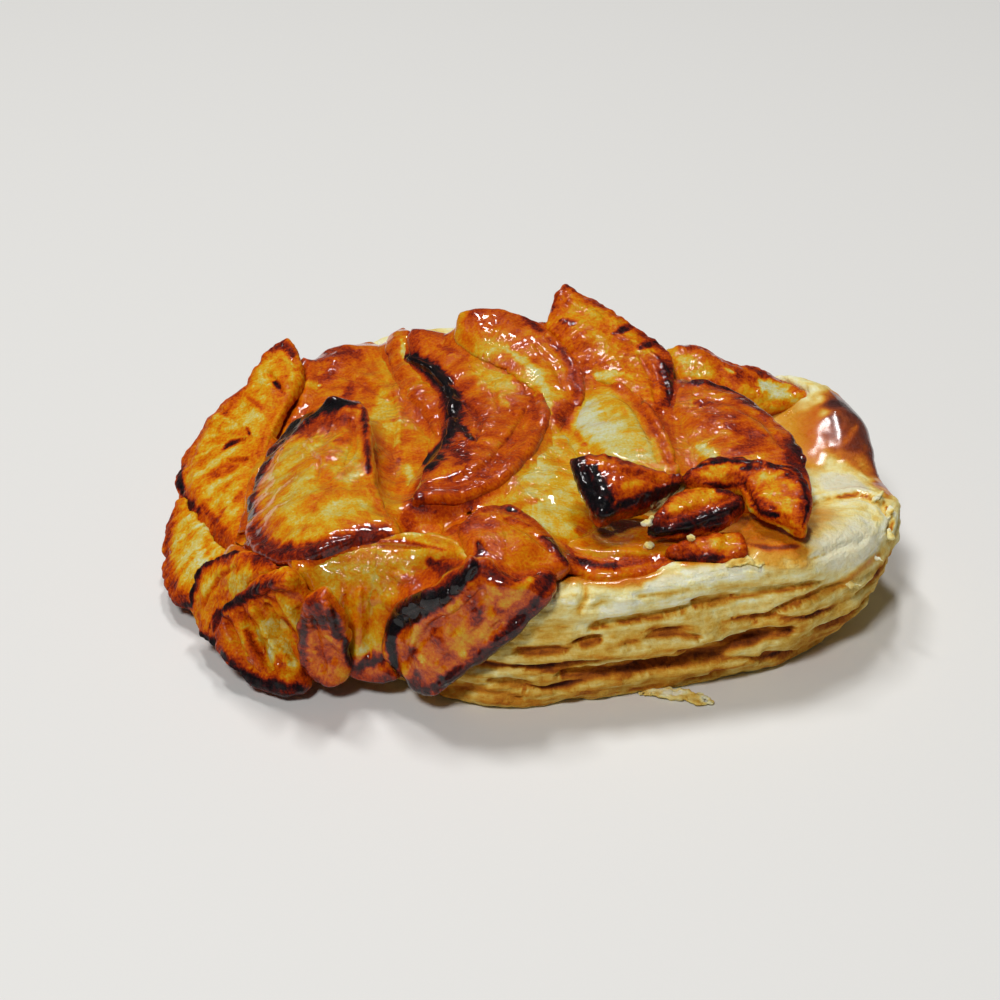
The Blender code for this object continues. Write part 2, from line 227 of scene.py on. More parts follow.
def linear(hex_colour: str) -> tuple[float, float, float, float]:
    """Turns an sRGB hex colour to the linear one that shaders use.

    Args:
        hex_colour: Six hex digits, such as "C98A2B".

    Returns:
        Linear red, green and blue, with full alpha.
    """
    channels = [int(hex_colour[i : i + 2], 16) / 255 for i in (0, 2, 4)]
    red, green, blue = (c / 12.92 if c <= 0.04045 else ((c + 0.055) / 1.055) ** 2.4 for c in channels)
    return (red, green, blue, 1.0)


def curve_through(points: tuple[Place, ...], count: int = 40) -> np.ndarray:
    """Lays a smooth curve through points.

    Args:
        points: Places in mm, in order.
        count: How many places on the curve to give.

    Returns:
        That many places in mm, evenly spread over the curve.
    """
    knots = [np.array(point, float) for point in points]
    lengths = [float(np.linalg.norm(b - a)) for a, b in zip(knots, knots[1:])]
    curve = []
    for share in np.linspace(0.0, 1.0, count):
        left = share * sum(lengths)
        index = 0
        while index < len(lengths) - 1 and left > lengths[index]:
            left -= lengths[index]
            index += 1
        t = min(1.0, left / lengths[index])
        start, end = knots[index], knots[index + 1]
        leaving = (end - knots[max(0, index - 1)]) / 2
        arriving = (knots[min(len(knots) - 1, index + 2)] - start) / 2
        curve.append(
            start * (2 * t**3 - 3 * t**2 + 1)
            + end * (3 * t**2 - 2 * t**3)
            + leaving * (t**3 - 2 * t**2 + t)
            + arriving * (t**3 - t**2)
        )
    return np.array(curve)


def nearest_on_path(points: np.ndarray, path: np.ndarray) -> tuple[np.ndarray, np.ndarray]:
    """Finds how far each point is from a path, and where on the path that is.

    Args:
        points: N places in mm.
        path: M places in mm, joined by straight lines.

    Returns:
        N distances in mm, and N lengths in mm along the path to the nearest place on it.
    """
    if len(path) == 1:
        return np.linalg.norm(points - path[0], axis=1), np.zeros(len(points))
    best = np.full(len(points), np.inf)
    where = np.zeros(len(points))
    walked = 0.0
    for start, end in zip(path, path[1:]):
        step = end - start
        length = float(np.linalg.norm(step))
        if length < 1e-6:
            continue
        share = np.clip((points - start) @ step / length**2, 0.0, 1.0)
        distance = np.linalg.norm(points - start - share[:, None] * step, axis=1)
        nearer = distance < best
        best[nearer] = distance[nearer]
        where[nearer] = walked + share[nearer] * length
        walked += length
    return best, where


def patchiness(points: np.ndarray, size: float, seed: float) -> np.ndarray:
    """Gives soft random patches.

    Args:
        points: N places in mm.
        size: How large a patch is, in mm.
        seed: Moves the pattern, so that pieces differ.

    Returns:
        N values from about -1 to 1.
    """
    shift = Vector((seed, 2.7 * seed, -1.3 * seed))
    return np.array([noise.noise(Vector(point / size) + shift) for point in points])


def toward(bake: np.ndarray, goal: Bake, share: np.ndarray | float) -> np.ndarray:
    """Takes how done each vertex is this share of the way to a goal."""
    return bake + (goal.value - bake) * share


def set_attribute(mesh: bpy.types.Mesh, name: str, values: np.ndarray) -> None:
    """Keeps one number, or one vector, for each vertex, where the materials read it."""
    kind, key = ("FLOAT", "value") if values.ndim == 1 else ("FLOAT_VECTOR", "vector")
    attribute = mesh.attributes.new(name, kind, "POINT")
    attribute.data.foreach_set(key, values.astype(np.float32).ravel())


def set_looks(mesh: bpy.types.Mesh, bake: np.ndarray, wet: np.ndarray, **more: np.ndarray) -> None:
    """Keeps how done, with painted shade, and how wet each vertex is, 0 to 1, and what else its finish
    reads.
    """
    set_attribute(mesh, "bake", np.clip(bake, 0.0, 1.0))
    set_attribute(mesh, "wet", np.clip(wet, 0.0, 1.0))
    for name, values in more.items():
        set_attribute(mesh, name, values)


def vertex_values(mesh: bpy.types.Mesh, name: str) -> np.ndarray:
    """One number for each vertex, as set_attribute kept it."""
    values = np.empty(len(mesh.vertices), np.float32)
    mesh.attributes[name].data.foreach_get("value", values)
    return values.astype(float)


def vertex_vectors(mesh: bpy.types.Mesh, key: str) -> np.ndarray:
    """What Blender keeps for each vertex under this name, one vector a row."""
    flat = np.empty(len(mesh.vertices) * 3, np.float32)
    mesh.vertices.foreach_get(key, flat)
    return flat.reshape(-1, 3).astype(float)


def vertex_places(mesh: bpy.types.Mesh) -> np.ndarray:
    """The places of a mesh's vertices in mm."""
    return vertex_vectors(mesh, "co") / MM


def vertex_normals(mesh: bpy.types.Mesh) -> np.ndarray:
    """The outward directions of a mesh's vertices."""
    return vertex_vectors(mesh, "normal")


def set_vertex_places(mesh: bpy.types.Mesh, places: np.ndarray) -> None:
    """Moves a mesh's vertices to these places in mm."""
    mesh.vertices.foreach_set("co", (places * MM).astype(np.float32).ravel())
    mesh.update()


def select_only(obj: bpy.types.Object) -> None:
    """Makes obj the only selected object and the active one."""
    bpy.ops.object.select_all(action="DESELECT")
    obj.select_set(True)
    bpy.context.view_layer.objects.active = obj


def apply_modifier(obj: bpy.types.Object, kind: str, **settings: object) -> None:
    """Adds a modifier with these settings and applies it at once."""
    select_only(obj)
    modifier = obj.modifiers.new(kind.lower(), kind)
    for name, value in settings.items():
        setattr(modifier, name, value)
    bpy.ops.object.modifier_apply(modifier=modifier.name)


def rebuild_surface(obj: bpy.types.Object, voxel: float) -> None:
    """Rebuilds a piece as one closed surface of even faces, about this many mm wide."""
    apply_modifier(obj, "REMESH", mode="VOXEL", voxel_size=voxel * MM)


def smooth_out(obj: bpy.types.Object, passes: int) -> None:
    """Evens out a piece's surface this many times."""
    apply_modifier(obj, "SMOOTH", factor=0.5, iterations=passes)


def crumple(obj: bpy.types.Object, size: float, height: float, depth: int = 2) -> None:
    """Raises and sinks the surface by soft noise.

    Args:
        obj: The piece.
        size: How large a bump is, in mm.
        height: From the lowest to the highest place, in mm.
        depth: How many finer layers the noise has.
    """
    bumps = bpy.data.textures.new(f"{obj.name}_bumps", "CLOUDS")
    bumps.noise_scale = size * MM
    bumps.noise_depth = depth
    apply_modifier(
        obj, "DISPLACE", texture=bumps, texture_coords="LOCAL", strength=height * MM, mid_level=0.5
    )
    bpy.data.textures.remove(bumps)


def copy_of_solid(node: str) -> bpy.types.Object:
    """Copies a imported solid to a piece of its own, with its loose triangles merged.

    Args:
        node: The solid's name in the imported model.

    Returns:
        The new piece, without a material.
    """
    name = f"{node}_baked"
    piece = bpy.data.objects.new(name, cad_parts[node].data.copy())
    piece.data.name = name
    piece.data.materials.clear()
    bpy.context.scene.collection.objects.link(piece)
    select_only(piece)
    bpy.ops.object.mode_set(mode="EDIT")
    bpy.ops.mesh.select_all(action="SELECT")
    bpy.ops.mesh.remove_doubles(threshold=0.01 * MM)
    bpy.ops.object.mode_set(mode="OBJECT")
    return piece


def linked_copy(piece: bpy.types.Object) -> bpy.types.Object:
    """Copies a piece, with a mesh of its own."""
    copy = piece.copy()
    copy.data = piece.data.copy()
    bpy.context.scene.collection.objects.link(copy)
    return copy


def joined(parts: list[bpy.types.Object], name: str) -> bpy.types.Object:
    """Joins parts to one piece of this name."""
    select_only(parts[0])
    for part in parts:
        part.select_set(True)
    bpy.ops.object.join()
    piece = bpy.context.view_layer.objects.active
    piece.name = piece.data.name = name
    return piece


def evened_places(piece: bpy.types.Object, passes: int) -> np.ndarray:
    """The places in mm that the piece's vertices would have after this many passes of smoothing."""
    evened = linked_copy(piece)
    smooth_out(evened, passes)
    mesh = evened.data
    places = vertex_places(mesh)
    bpy.data.objects.remove(evened)
    bpy.data.meshes.remove(mesh)
    return places


def hollow_depth(piece: bpy.types.Object, passes: int) -> np.ndarray:
    """Measures how deep each vertex lies in a hollow, and how far it stands out where that is negative.

    Args:
        piece: The piece to measure. It isn't changed.
        passes: How often its copy is smoothed, which sets how wide a hollow counts.

    Returns:
        A depth in mm for each vertex.
    """
    moved = evened_places(piece, passes) - vertex_places(piece.data)
    return np.einsum("ij,ij->i", moved, vertex_normals(piece.data))


def keep_largest_body(obj: bpy.types.Object) -> None:
    """Deletes the scraps that a remesh can leave beside the piece."""
    select_only(obj)
    mesh = obj.data
    group = np.arange(len(mesh.vertices))
    ends = np.empty(len(mesh.edges) * 2, np.int32)
    mesh.edges.foreach_get("vertices", ends)
    first, second = ends[::2], ends[1::2]
    changed = True
    while changed:
        low = np.minimum(group[first], group[second])
        before = group.copy()
        np.minimum.at(group, first, low)
        np.minimum.at(group, second, low)
        group = group[group]
        changed = not np.array_equal(before, group)
    kinds, counts = np.unique(group, return_counts=True)
    scraps = group != kinds[counts.argmax()]
    if not scraps.any():
        return
    mesh.vertices.foreach_set("select", scraps)
    mesh.edges.foreach_set("select", np.zeros(len(mesh.edges), bool))
    mesh.polygons.foreach_set("select", np.zeros(len(mesh.polygons), bool))
    bpy.ops.object.mode_set(mode="EDIT")
    bpy.ops.mesh.select_mode(type="VERT")
    bpy.ops.mesh.delete(type="VERT")
    bpy.ops.object.mode_set(mode="OBJECT")


def feed(tree: bpy.types.NodeTree, node: bpy.types.Node, inputs: dict[str | int, object]) -> None:
    """Sets a node's input sockets, and links those whose value is another node's output."""
    for key, value in inputs.items():
        if isinstance(value, Socket):
            tree.links.new(value, node.inputs[key])
        else:
            node.inputs[key].default_value = value


def add_node(
    tree: bpy.types.NodeTree, kind: str, inputs: dict[str | int, object], **settings: object
) -> bpy.types.Node:
    """Adds a node.

    Args:
        tree: The node tree it goes in.
        kind: The node's type name, without the start that all shader nodes share.
        inputs: For each input socket, a value, or the output socket that feeds it.
        settings: Properties of the node.

    Returns:
        The node.
    """
    node = tree.nodes.new(f"ShaderNode{kind}")
    for name, value in settings.items():
        setattr(node, name, value)
    feed(tree, node, inputs)
    return node


def attribute(tree: bpy.types.NodeTree, name: str, output: str = "Fac") -> Socket:
    """What the mesh keeps under this name."""
    return add_node(tree, "Attribute", {}, attribute_name=name).outputs[output]


def computed(tree: bpy.types.NodeTree, operation: str, *values: Socket | float) -> Socket:
    """The result of this arithmetic on these values."""
    return add_node(tree, "Math", dict(enumerate(values)), operation=operation).outputs[0]


def ranged(tree: bpy.types.NodeTree, value: Socket, to: Span, within: Span = (0.0, 1.0)) -> Socket:
    """Turns a value that goes over one range to one that goes over another.

    Args:
        tree: The node tree.
        value: What is turned. It is cut off outside its range.
        to: The results at the start and the end of that range.
        within: Where that range starts and ends.

    Returns:
        The result.
    """
    ends = {"From Min": within[0], "From Max": within[1], "To Min": to[0], "To Max": to[1]}
    return add_node(tree, "MapRange", {"Value": value} | ends).outputs[0]


def pattern(
    tree: bpy.types.NodeTree, place: Socket, size: float, detail: float, roughness: float = 0.5
) -> Socket:
    """Soft noise from 0 to 1 whose features are this far apart, in the units of place."""
    inputs = {"Vector": place, "Scale": 1 / size, "Detail": detail, "Roughness": roughness}
    return add_node(tree, "TexNoise", inputs).outputs["Fac"]


def laid_pattern(
    tree: bpy.types.NodeTree, place: Socket, sizes: Place, detail: float, roughness: float = 0.5
) -> Socket:
    """Soft noise from 0 to 1 whose features are this far apart along each of the place's three axes."""
    scale = tuple(1 / size for size in sizes)
    stretched = add_node(tree, "Mapping", {"Vector": place, "Scale": scale})
    return pattern(tree, stretched.outputs[0], 1.0, detail, roughness)


def shifted(tree: bpy.types.NodeTree, base: Socket | float, noisy: Socket, reach: float) -> Socket:
    """Adds a pattern to base, from -reach to reach."""
    return computed(tree, "MULTIPLY_ADD", computed(tree, "SUBTRACT", noisy, 0.5), 2 * reach, base)


def ramped(tree: bpy.types.NodeTree, value: Socket, stops: Stops) -> Socket:
    """The colour at a value, between stops that are each a place from 0 to 1 and a hex colour."""
    node = add_node(tree, "ValToRGB", {"Fac": value})
    elements = node.color_ramp.elements
    while len(elements) > 1:
        elements.remove(elements[-1])
    elements[0].position, elements[0].color = stops[0][0], linear(stops[0][1])
    for place, colour in stops[1:]:
        elements.new(place).color = linear(colour)
    return node.outputs["Color"]


def bumped(tree: bpy.types.NodeTree, height: Socket, strength: float, distance: float) -> Socket:
    """The way the surface faces where it is raised by height, times this distance in mm."""
    inputs = {"Height": height, "Strength": strength, "Distance": distance * MM}
    return add_node(tree, "Bump", inputs).outputs[0]


@dataclass(frozen=True)
class BakedAppleFinish:
    """Apple flesh, baked until it browns, under a brushed-on sugar glaze.

    The eye gets a fibrous, slightly see-through flesh that runs from pale yellow over amber to charcoal,
    with fine specks, and wet places whose wrinkles break each light into small curls.
    """

    name: str = "baked_apple_glazed"
    colours: Stops = (
        (0.00, "CACCA8"), (0.12, "CABC68"), (0.23, "CFA31E"), (0.34, "D08206"), (0.46, "C85A03"),
        (0.57, "AC3A05"), (0.67, "781E0C"), (0.77, "421312"), (0.89, "1A0C10"), (1.00, "0A090C"),
    )
    fibre_width: float = 0.7  # mm between the strands that run from core to peel
    fibre_length: float = 7.0
    fibre_reach: float = 0.13  # how much more or less done a strand is than its neighbours
    mottle_size: float = 1.9
    mottle_reach: float = 0.22
    speck_size: float = 0.42
    speck_reach: float = 0.24
    calm: float = 0.7  # what glaze leaves of these differences
    relief: float = 0.16  # mm that the strands and specks stand up
    relief_strength: float = 0.6
    speck_relief: float = 0.6  # how high specks stand, next to strands
    dry_roughness: float = 0.62
    wet_roughness: float = 0.2
    roughness_reach: float = 0.35  # how much wetter or drier the flesh looks in its mottles
    coat_from: Span = (0.25, 0.7)  # how wet it is where the glaze starts and is whole
    coat_reach: float = 0.5
    coat_roughness: float = 0.035
    refraction: float = 1.4  # of syrup and of juicy flesh
    dry_shine: float = 0.06
    glow: float = 0.25  # share of the light that goes into the flesh
    glow_depth: float = 1.5
    ripple_size: float = 4.5  # of the syrup's skin
    ripple_height: float = 0.7
    curl_size: float = 3.2  # of the folds in that skin, whose steep sides catch the light in thin curls
    curl_width: float = 0.26  # share of the folds' pattern that stands up
    curl_height: float = 0.85

    def make(self) -> bpy.types.Material:
        """Builds the material.

        Returns:
            The material, which reads the attributes "bake", "wet", "curl" and "fibre".
        """
        material = bpy.data.materials.new(self.name)
        material.use_nodes = True
        tree = material.node_tree
        place = add_node(tree, "TexCoord", {}).outputs["Object"]
        wet = attribute(tree, "wet")
        sizes = (self.fibre_width, self.fibre_length, self.fibre_length)
        strands = laid_pattern(tree, attribute(tree, "fibre", "Vector"), sizes, detail=3.0)
        mottle = pattern(tree, place, self.mottle_size * MM, detail=5.0, roughness=0.6)
        specks = pattern(tree, place, self.speck_size * MM, detail=2.0, roughness=0.6)

        uneven = shifted(tree, 0.0, strands, self.fibre_reach)
        uneven = shifted(tree, uneven, mottle, self.mottle_reach)
        uneven = shifted(tree, uneven, specks, self.speck_reach)
        calmed = ranged(tree, wet, to=(1.0, self.calm))
        # how done each place is, painted shade included
        done = computed(tree, "MULTIPLY_ADD", uneven, calmed, attribute(tree, "bake"))
        moist = shifted(tree, wet, mottle, self.roughness_reach)
        glazed = shifted(tree, wet, mottle, self.coat_reach)
        rough = shifted(tree, strands, specks, self.speck_relief)
        looks = {
            "Base Color": ramped(tree, done, self.colours),
            "Roughness": ranged(tree, moist, to=(self.dry_roughness, self.wet_roughness)),
            "IOR": self.refraction,
            "Specular IOR Level": self.dry_shine,
            "Normal": bumped(tree, rough, self.relief_strength, self.relief),
            "Coat Weight": ranged(tree, glazed, to=(0.0, 1.0), within=self.coat_from),
            "Coat Roughness": self.coat_roughness,
            "Coat IOR": self.refraction,
            "Coat Normal": bumped(tree, self.skin(tree, place), strength=1.0, distance=1.0),
            "Subsurface Weight": self.glow,
            "Subsurface Radius": (1.0, 0.5, 0.15),
            "Subsurface Scale": self.glow_depth * MM,
        }
        feed(tree, tree.nodes["Principled BSDF"], looks)
        return material

    def skin(self, tree: bpy.types.NodeTree, place: Socket) -> Socket:
        """The heights in mm of the syrup's skin: wide ripples, and thin folds where "curl" says so."""
        ripples = pattern(tree, place, self.ripple_size * MM, detail=0.0)
        bent = {"Vector": place, "Scale": 1 / (self.curl_size * MM), "Detail": 0.5, "Distortion": 1.2}
        folds = add_node(tree, "TexNoise", bent).outputs["Fac"]
        beside = computed(tree, "ABSOLUTE", computed(tree, "SUBTRACT", folds, 0.5))
        ends = {"Value": beside, "From Max": self.curl_width, "To Min": self.curl_height, "To Max": 0.0}
        fold = add_node(tree, "MapRange", ends, interpolation_type="SMOOTHSTEP").outputs[0]
        raised = computed(tree, "MULTIPLY", fold, attribute(tree, "curl"))
        return computed(tree, "MULTIPLY_ADD", ripples, self.ripple_height, raised)


@dataclass(frozen=True)
class PuffPastryFinish:
    """Butter puff pastry, risen in sheets and baked.

    The eye gets dry matte sheets, cream where they were shut in and golden to burnt orange along their
    edges, finely blistered, and a syrup-brown shine where the glaze ran over the rim.
    """

    name: str = "puff_pastry_baked"
    colours: Stops = (
        (0.00, "F5F4D8"), (0.11, "F3E8A6"), (0.22, "EBD078"), (0.33, "DEB24A"), (0.44, "CF8A24"),
        (0.56, "B36214"), (0.68, "84400E"), (0.80, "4E1F0E"), (1.00, "221010"),
    )
    glaze_colours: Stops = (
        (0.00, "F3EFCF"), (0.16, "EBD07E"), (0.32, "E29A1C"), (0.46, "D66A04"),
        (0.60, "9A3C0A"), (0.74, "58221A"), (1.00, "1E1014"),
    )
    sheet_length: float = 3.2
    sheet_pitch: float = 0.55
    sheet_reach: float = 0.17  # how much more or less done a sheet's edge is than its neighbours
    blister_size: float = 1.3
    blister_reach: float = 0.2
    glazed_reach: float = 0.1
    relief: float = 0.4  # mm that the sheets' edges and the blisters stand up
    relief_strength: float = 0.9
    blister_relief: float = 0.8  # how high blisters stand, next to sheets
    dry_roughness: float = 0.75
    wet_roughness: float = 0.3
    coat_roughness: float = 0.16
    refraction: float = 1.45  # of butter
    dry_shine: float = 0.2
    glow: float = 0.12
    glow_depth: float = 0.8

    def make(self) -> bpy.types.Material:
        """Builds the material.

        Returns:
            The material, which reads the attributes "bake", "wet" and "sheet".
        """
        material = bpy.data.materials.new(self.name)
        material.use_nodes = True
        tree = material.node_tree
        place = add_node(tree, "TexCoord", {}).outputs["Object"]
        bake, wet = attribute(tree, "bake"), attribute(tree, "wet")
        sizes = (self.sheet_length, self.sheet_length, self.sheet_pitch)
        sheets = laid_pattern(tree, attribute(tree, "sheet", "Vector"), sizes, detail=5.0, roughness=0.6)
        blisters = pattern(tree, place, self.blister_size * MM, detail=5.0, roughness=0.7)

        # how done each place is, painted shade included
        done = shifted(tree, shifted(tree, bake, sheets, self.sheet_reach), blisters, self.blister_reach)
        glazed = shifted(tree, bake, blisters, self.glazed_reach)
        shades = {
            "Fac": wet,
            "Color1": ramped(tree, done, self.colours),
            "Color2": ramped(tree, glazed, self.glaze_colours),
        }
        rough = shifted(tree, sheets, blisters, self.blister_relief)
        looks = {
            "Base Color": add_node(tree, "MixRGB", shades).outputs["Color"],
            "Roughness": ranged(tree, wet, to=(self.dry_roughness, self.wet_roughness)),
            "IOR": self.refraction,
            "Specular IOR Level": self.dry_shine,
            "Normal": bumped(tree, rough, self.relief_strength, self.relief),
            "Coat Weight": wet,
            "Coat Roughness": self.coat_roughness,
            "Subsurface Weight": self.glow,
            "Subsurface Radius": (1.0, 0.7, 0.4),
            "Subsurface Scale": self.glow_depth * MM,
        }
        feed(tree, tree.nodes["Principled BSDF"], looks)
        return material


def curled(places: np.ndarray) -> np.ndarray:
    """How much the syrup's skin folds at each place in mm, from 0 to 1, as the photograph shows it."""
    share = np.zeros(len(places))
    pixels, _ = VIEW.see(places)
    for mark in CURL_MARKS:
        if np.hypot(*(pixels - mark.run[0]).T).min() < VIEW.pixel_reach:
            share = np.maximum(share, VIEW.cover(places, mark))
    return share


def finish_piece(
    piece: bpy.types.Object, finish: bpy.types.Material, node: str | None = None
) -> None:
    """Gives a piece its material and its place in the frame.

    Args:
        piece: The modelled piece.
        finish: Its material.
        node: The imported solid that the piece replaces, if there is one.
    """
    piece.data.shade_smooth()
    piece.data.materials.append(finish)
    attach(piece, "root")
    if node:
        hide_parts(node)
    log.info("%s: %d faces", piece.name, len(piece.data.polygons))


@dataclass
class AppleSlice:
    """One baked apple slice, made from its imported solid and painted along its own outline.

    The rim is the peel side and the core the cut side, both in mm from the slice's first tip to its
    second. flesh, rim_bake and core_bake say how done it is inside and along its two edges, and wet how
    much glaze lies on it.
    """

    node: str
    rim: tuple[Place, ...]
    core: tuple[Place, ...]
    flesh: Bake
    rim_bake: Bake
    core_bake: Bake
    rim_width: float
    core_width: float
    wet: float
    marks: tuple[Mark, ...] = ()
    lumps: float = 0.0  # mm that its flesh puffed and shrank by, on a slice that baked dry and uneven
    lump_size: float = 2.6
    painted_lump_shade: float = 0.45  # painted shade: how much darker the hollows between lumps are, and lighter the lumps, for each mm of height
    voxel: float = 0.3
    edge_round: float = 0.9  # how far the rounded edge lies from the rim and core lines
    strand: float = 1.1  # mm between the fibres that run from core to rim
    strand_length: float = 6.0
    swell: float = 0.2  # mm that the surface stands out all over, to make up for the smoothing
    wrinkle: float = 0.2  # how high the rim's crinkles stand, on a dry slice
    wrinkle_reach: float = 2.5  # mm from the edge at which they die down
    grain: float = 0.13  # how high its finest roughness stands, on a dry slice
    # painted shade in the hollows and painted light on the ridges
    painted_hollow_shade: float = 0.07
    fringe_share: float = 0.55  # how much browner the strands are that reach in from the rim
    fringe_reach: float = 2.2  # how far they reach in, in rim widths
    edge_fade: float = 1.2  # how far past its width a browned edge fades out
    # painted shade on the surfaces that face down
    painted_underside_shade: float = 0.2
    broad_bake: float = 0.16  # how much more or less done wide patches are
    patch_bake: Span = (0.13, 0.22)  # and small ones, on a wet slice and on a dry one
    strand_bake: Span = (0.08, 0.2)
    grain_bake: Span = (0.0, 0.08)
    glossy: float = 0.6  # a slice wetter than this has wide soft wrinkles, a drier one fine sharp ones

    def build(self) -> bpy.types.Object:
        """Models the slice.

        Returns:
            The finished piece, closed and fine enough to show its wrinkles.
        """
        piece = copy_of_solid(self.node)
        rebuild_surface(piece, self.voxel)
        keep_largest_body(piece)
        smooth_out(piece, passes=6)
        crumple(piece, size=5.0, height=0.9, depth=1)
        if self.wet > self.glossy:
            crumple(piece, size=3.6, height=0.35, depth=0)
        else:
            crumple(piece, size=1.8, height=0.5)
        self.raise_relief(piece)
        self.paint(piece)
        return piece

    def edge_distances(self, places: np.ndarray) -> np.ndarray:
        """Measures from the slice's two edges.

        Args:
            places: N places in mm.

        Returns:
            For each place its length along the rim and its distances from the rim and the core, in mm.
        """
        from_rim, along_rim = nearest_on_path(places, curve_through(self.rim))
        from_core, _ = nearest_on_path(places, curve_through(self.core))
        beyond = self.edge_round
        inside = [np.clip(distance - beyond, 0.0, None) for distance in (from_rim, from_core)]
        return np.stack([along_rim, *inside], axis=1)

    def seed(self) -> float:
        """A number of the slice's own, so that no two slices share a pattern."""
        return float(sum(map(ord, self.node)) % 97)

    def drier(self, on_wet: float, on_dry: float) -> float:
        """What this slice gets, between what a wet slice and a dry one would."""
        return on_wet + (on_dry - on_wet) * (1.0 - self.wet)

    def patches(self, places: np.ndarray, size: float, shift: float) -> np.ndarray:
        """Soft patches of this size in mm, from about -1 to 1, that no other slice has."""
        return patchiness(places, size, self.seed() + shift)

    def strands(self, edges: np.ndarray, pitch: float, shift: float) -> np.ndarray:
        """Soft stripes from core to rim, from about -1 to 1, this many mm apart."""
        sizes = (pitch, self.strand_length, self.strand_length)
        return self.patches(edges / sizes, 1.0, shift)

    def lumpy(self, places: np.ndarray) -> np.ndarray:
        """How far each place is puffed up with the lump that it is on, in mm."""
        return self.lumps * self.patches(places, self.lump_size, shift=21)

    def raise_relief(self, piece: bpy.types.Object) -> None:
        """Crinkles the rim along the fibres, lifts the lips and sinks the grooves."""
        mesh = piece.data
        places, normals = vertex_places(mesh), vertex_normals(mesh)
        edges = self.edge_distances(places)
        dry = self.drier(on_wet=0.15, on_dry=1.0)
        near_edge = np.exp(-edges[:, 1:].min(axis=1) / self.wrinkle_reach)
        uneven = np.clip(0.9 + 1.4 * self.patches(places, size=4.0, shift=2), 0.1, 1.6)
        folds = self.strands(edges, self.strand, shift=3)
        folds += 1.3 * self.strands(edges, 2.6 * self.strand, shift=9)
        lift = self.swell + self.wrinkle * dry * uneven * (0.35 + near_edge) * folds
        lift += self.grain * dry * self.patches(places, size=0.75, shift=7) + self.lumpy(places)
        for mark in self.marks:
            if mark.height:
                lift += mark.height * VIEW.cover(places, mark)
        set_vertex_places(mesh, places + normals * lift[:, None])

    def paint(self, piece: bpy.types.Object) -> None:
        """Works out how done, how wet and which way the flesh runs at each vertex, with painted shade."""
        mesh = piece.data
        places, normals = vertex_places(mesh), vertex_normals(mesh)
        edges = self.edge_distances(places)
        streaks = self.strands(edges, self.strand, shift=3)
        patches = self.patches(places, size=2.6, shift=0)
        broad = self.patches(places, size=7.0, shift=11)
        grain = self.patches(places, size=0.8, shift=7)

        bake = self.flesh.value + self.broad_bake * broad + self.drier(*self.patch_bake) * patches
        bake += self.drier(*self.strand_bake) * self.strands(edges, pitch=2.4, shift=5)
        # painted shade between the lumps, painted light on them
        bake += self.drier(*self.grain_bake) * grain - self.painted_lump_shade * self.lumpy(places)
        ragged = 0.6 * streaks + 0.5 * patches + 0.35 * grain
        inward = np.exp(-edges[:, 1] / (self.fringe_reach * self.rim_width))
        fringe = inward * np.clip(streaks + 0.6 * grain, 0.0, 1.0)
        bake = toward(bake, self.rim_bake, self.fringe_share * fringe)
        for edge, width, done in (
            (edges[:, 1], self.rim_width, self.rim_bake),
            (edges[:, 2], self.core_width, self.core_bake),
        ):
            away = np.clip(edge / width + ragged, 0.0, None)
            strength = np.exp(-((away / self.edge_fade) ** 2)) * np.clip(0.8 + 0.9 * broad, 0.3, 1.0)
            bake = toward(bake, done, strength)
        for mark in self.marks:
            if mark.bake is not None:
                bake = toward(bake, mark.bake, VIEW.cover(places, mark, ragged))
        # painted shade: darker in the hollows, lighter on the ridges
        bake += self.painted_hollow_shade * np.clip(hollow_depth(piece, passes=10) / 0.2, -1.0, 1.5)
        # painted shade: darker where the surface faces down
        bake += self.painted_underside_shade * np.clip(-normals[:, 2], 0.0, 1.0)
        curl = curled(places) if self.wet > 0.5 else np.zeros(len(places))
        set_looks(mesh, bake, self.wet + 0.15 * broad, curl=curl, fibre=edges)

    def dress(self, piece: bpy.types.Object, finish: bpy.types.Material) -> None:
        """Gives the slice its material and its place in the frame."""
        finish_piece(piece, finish, self.node)


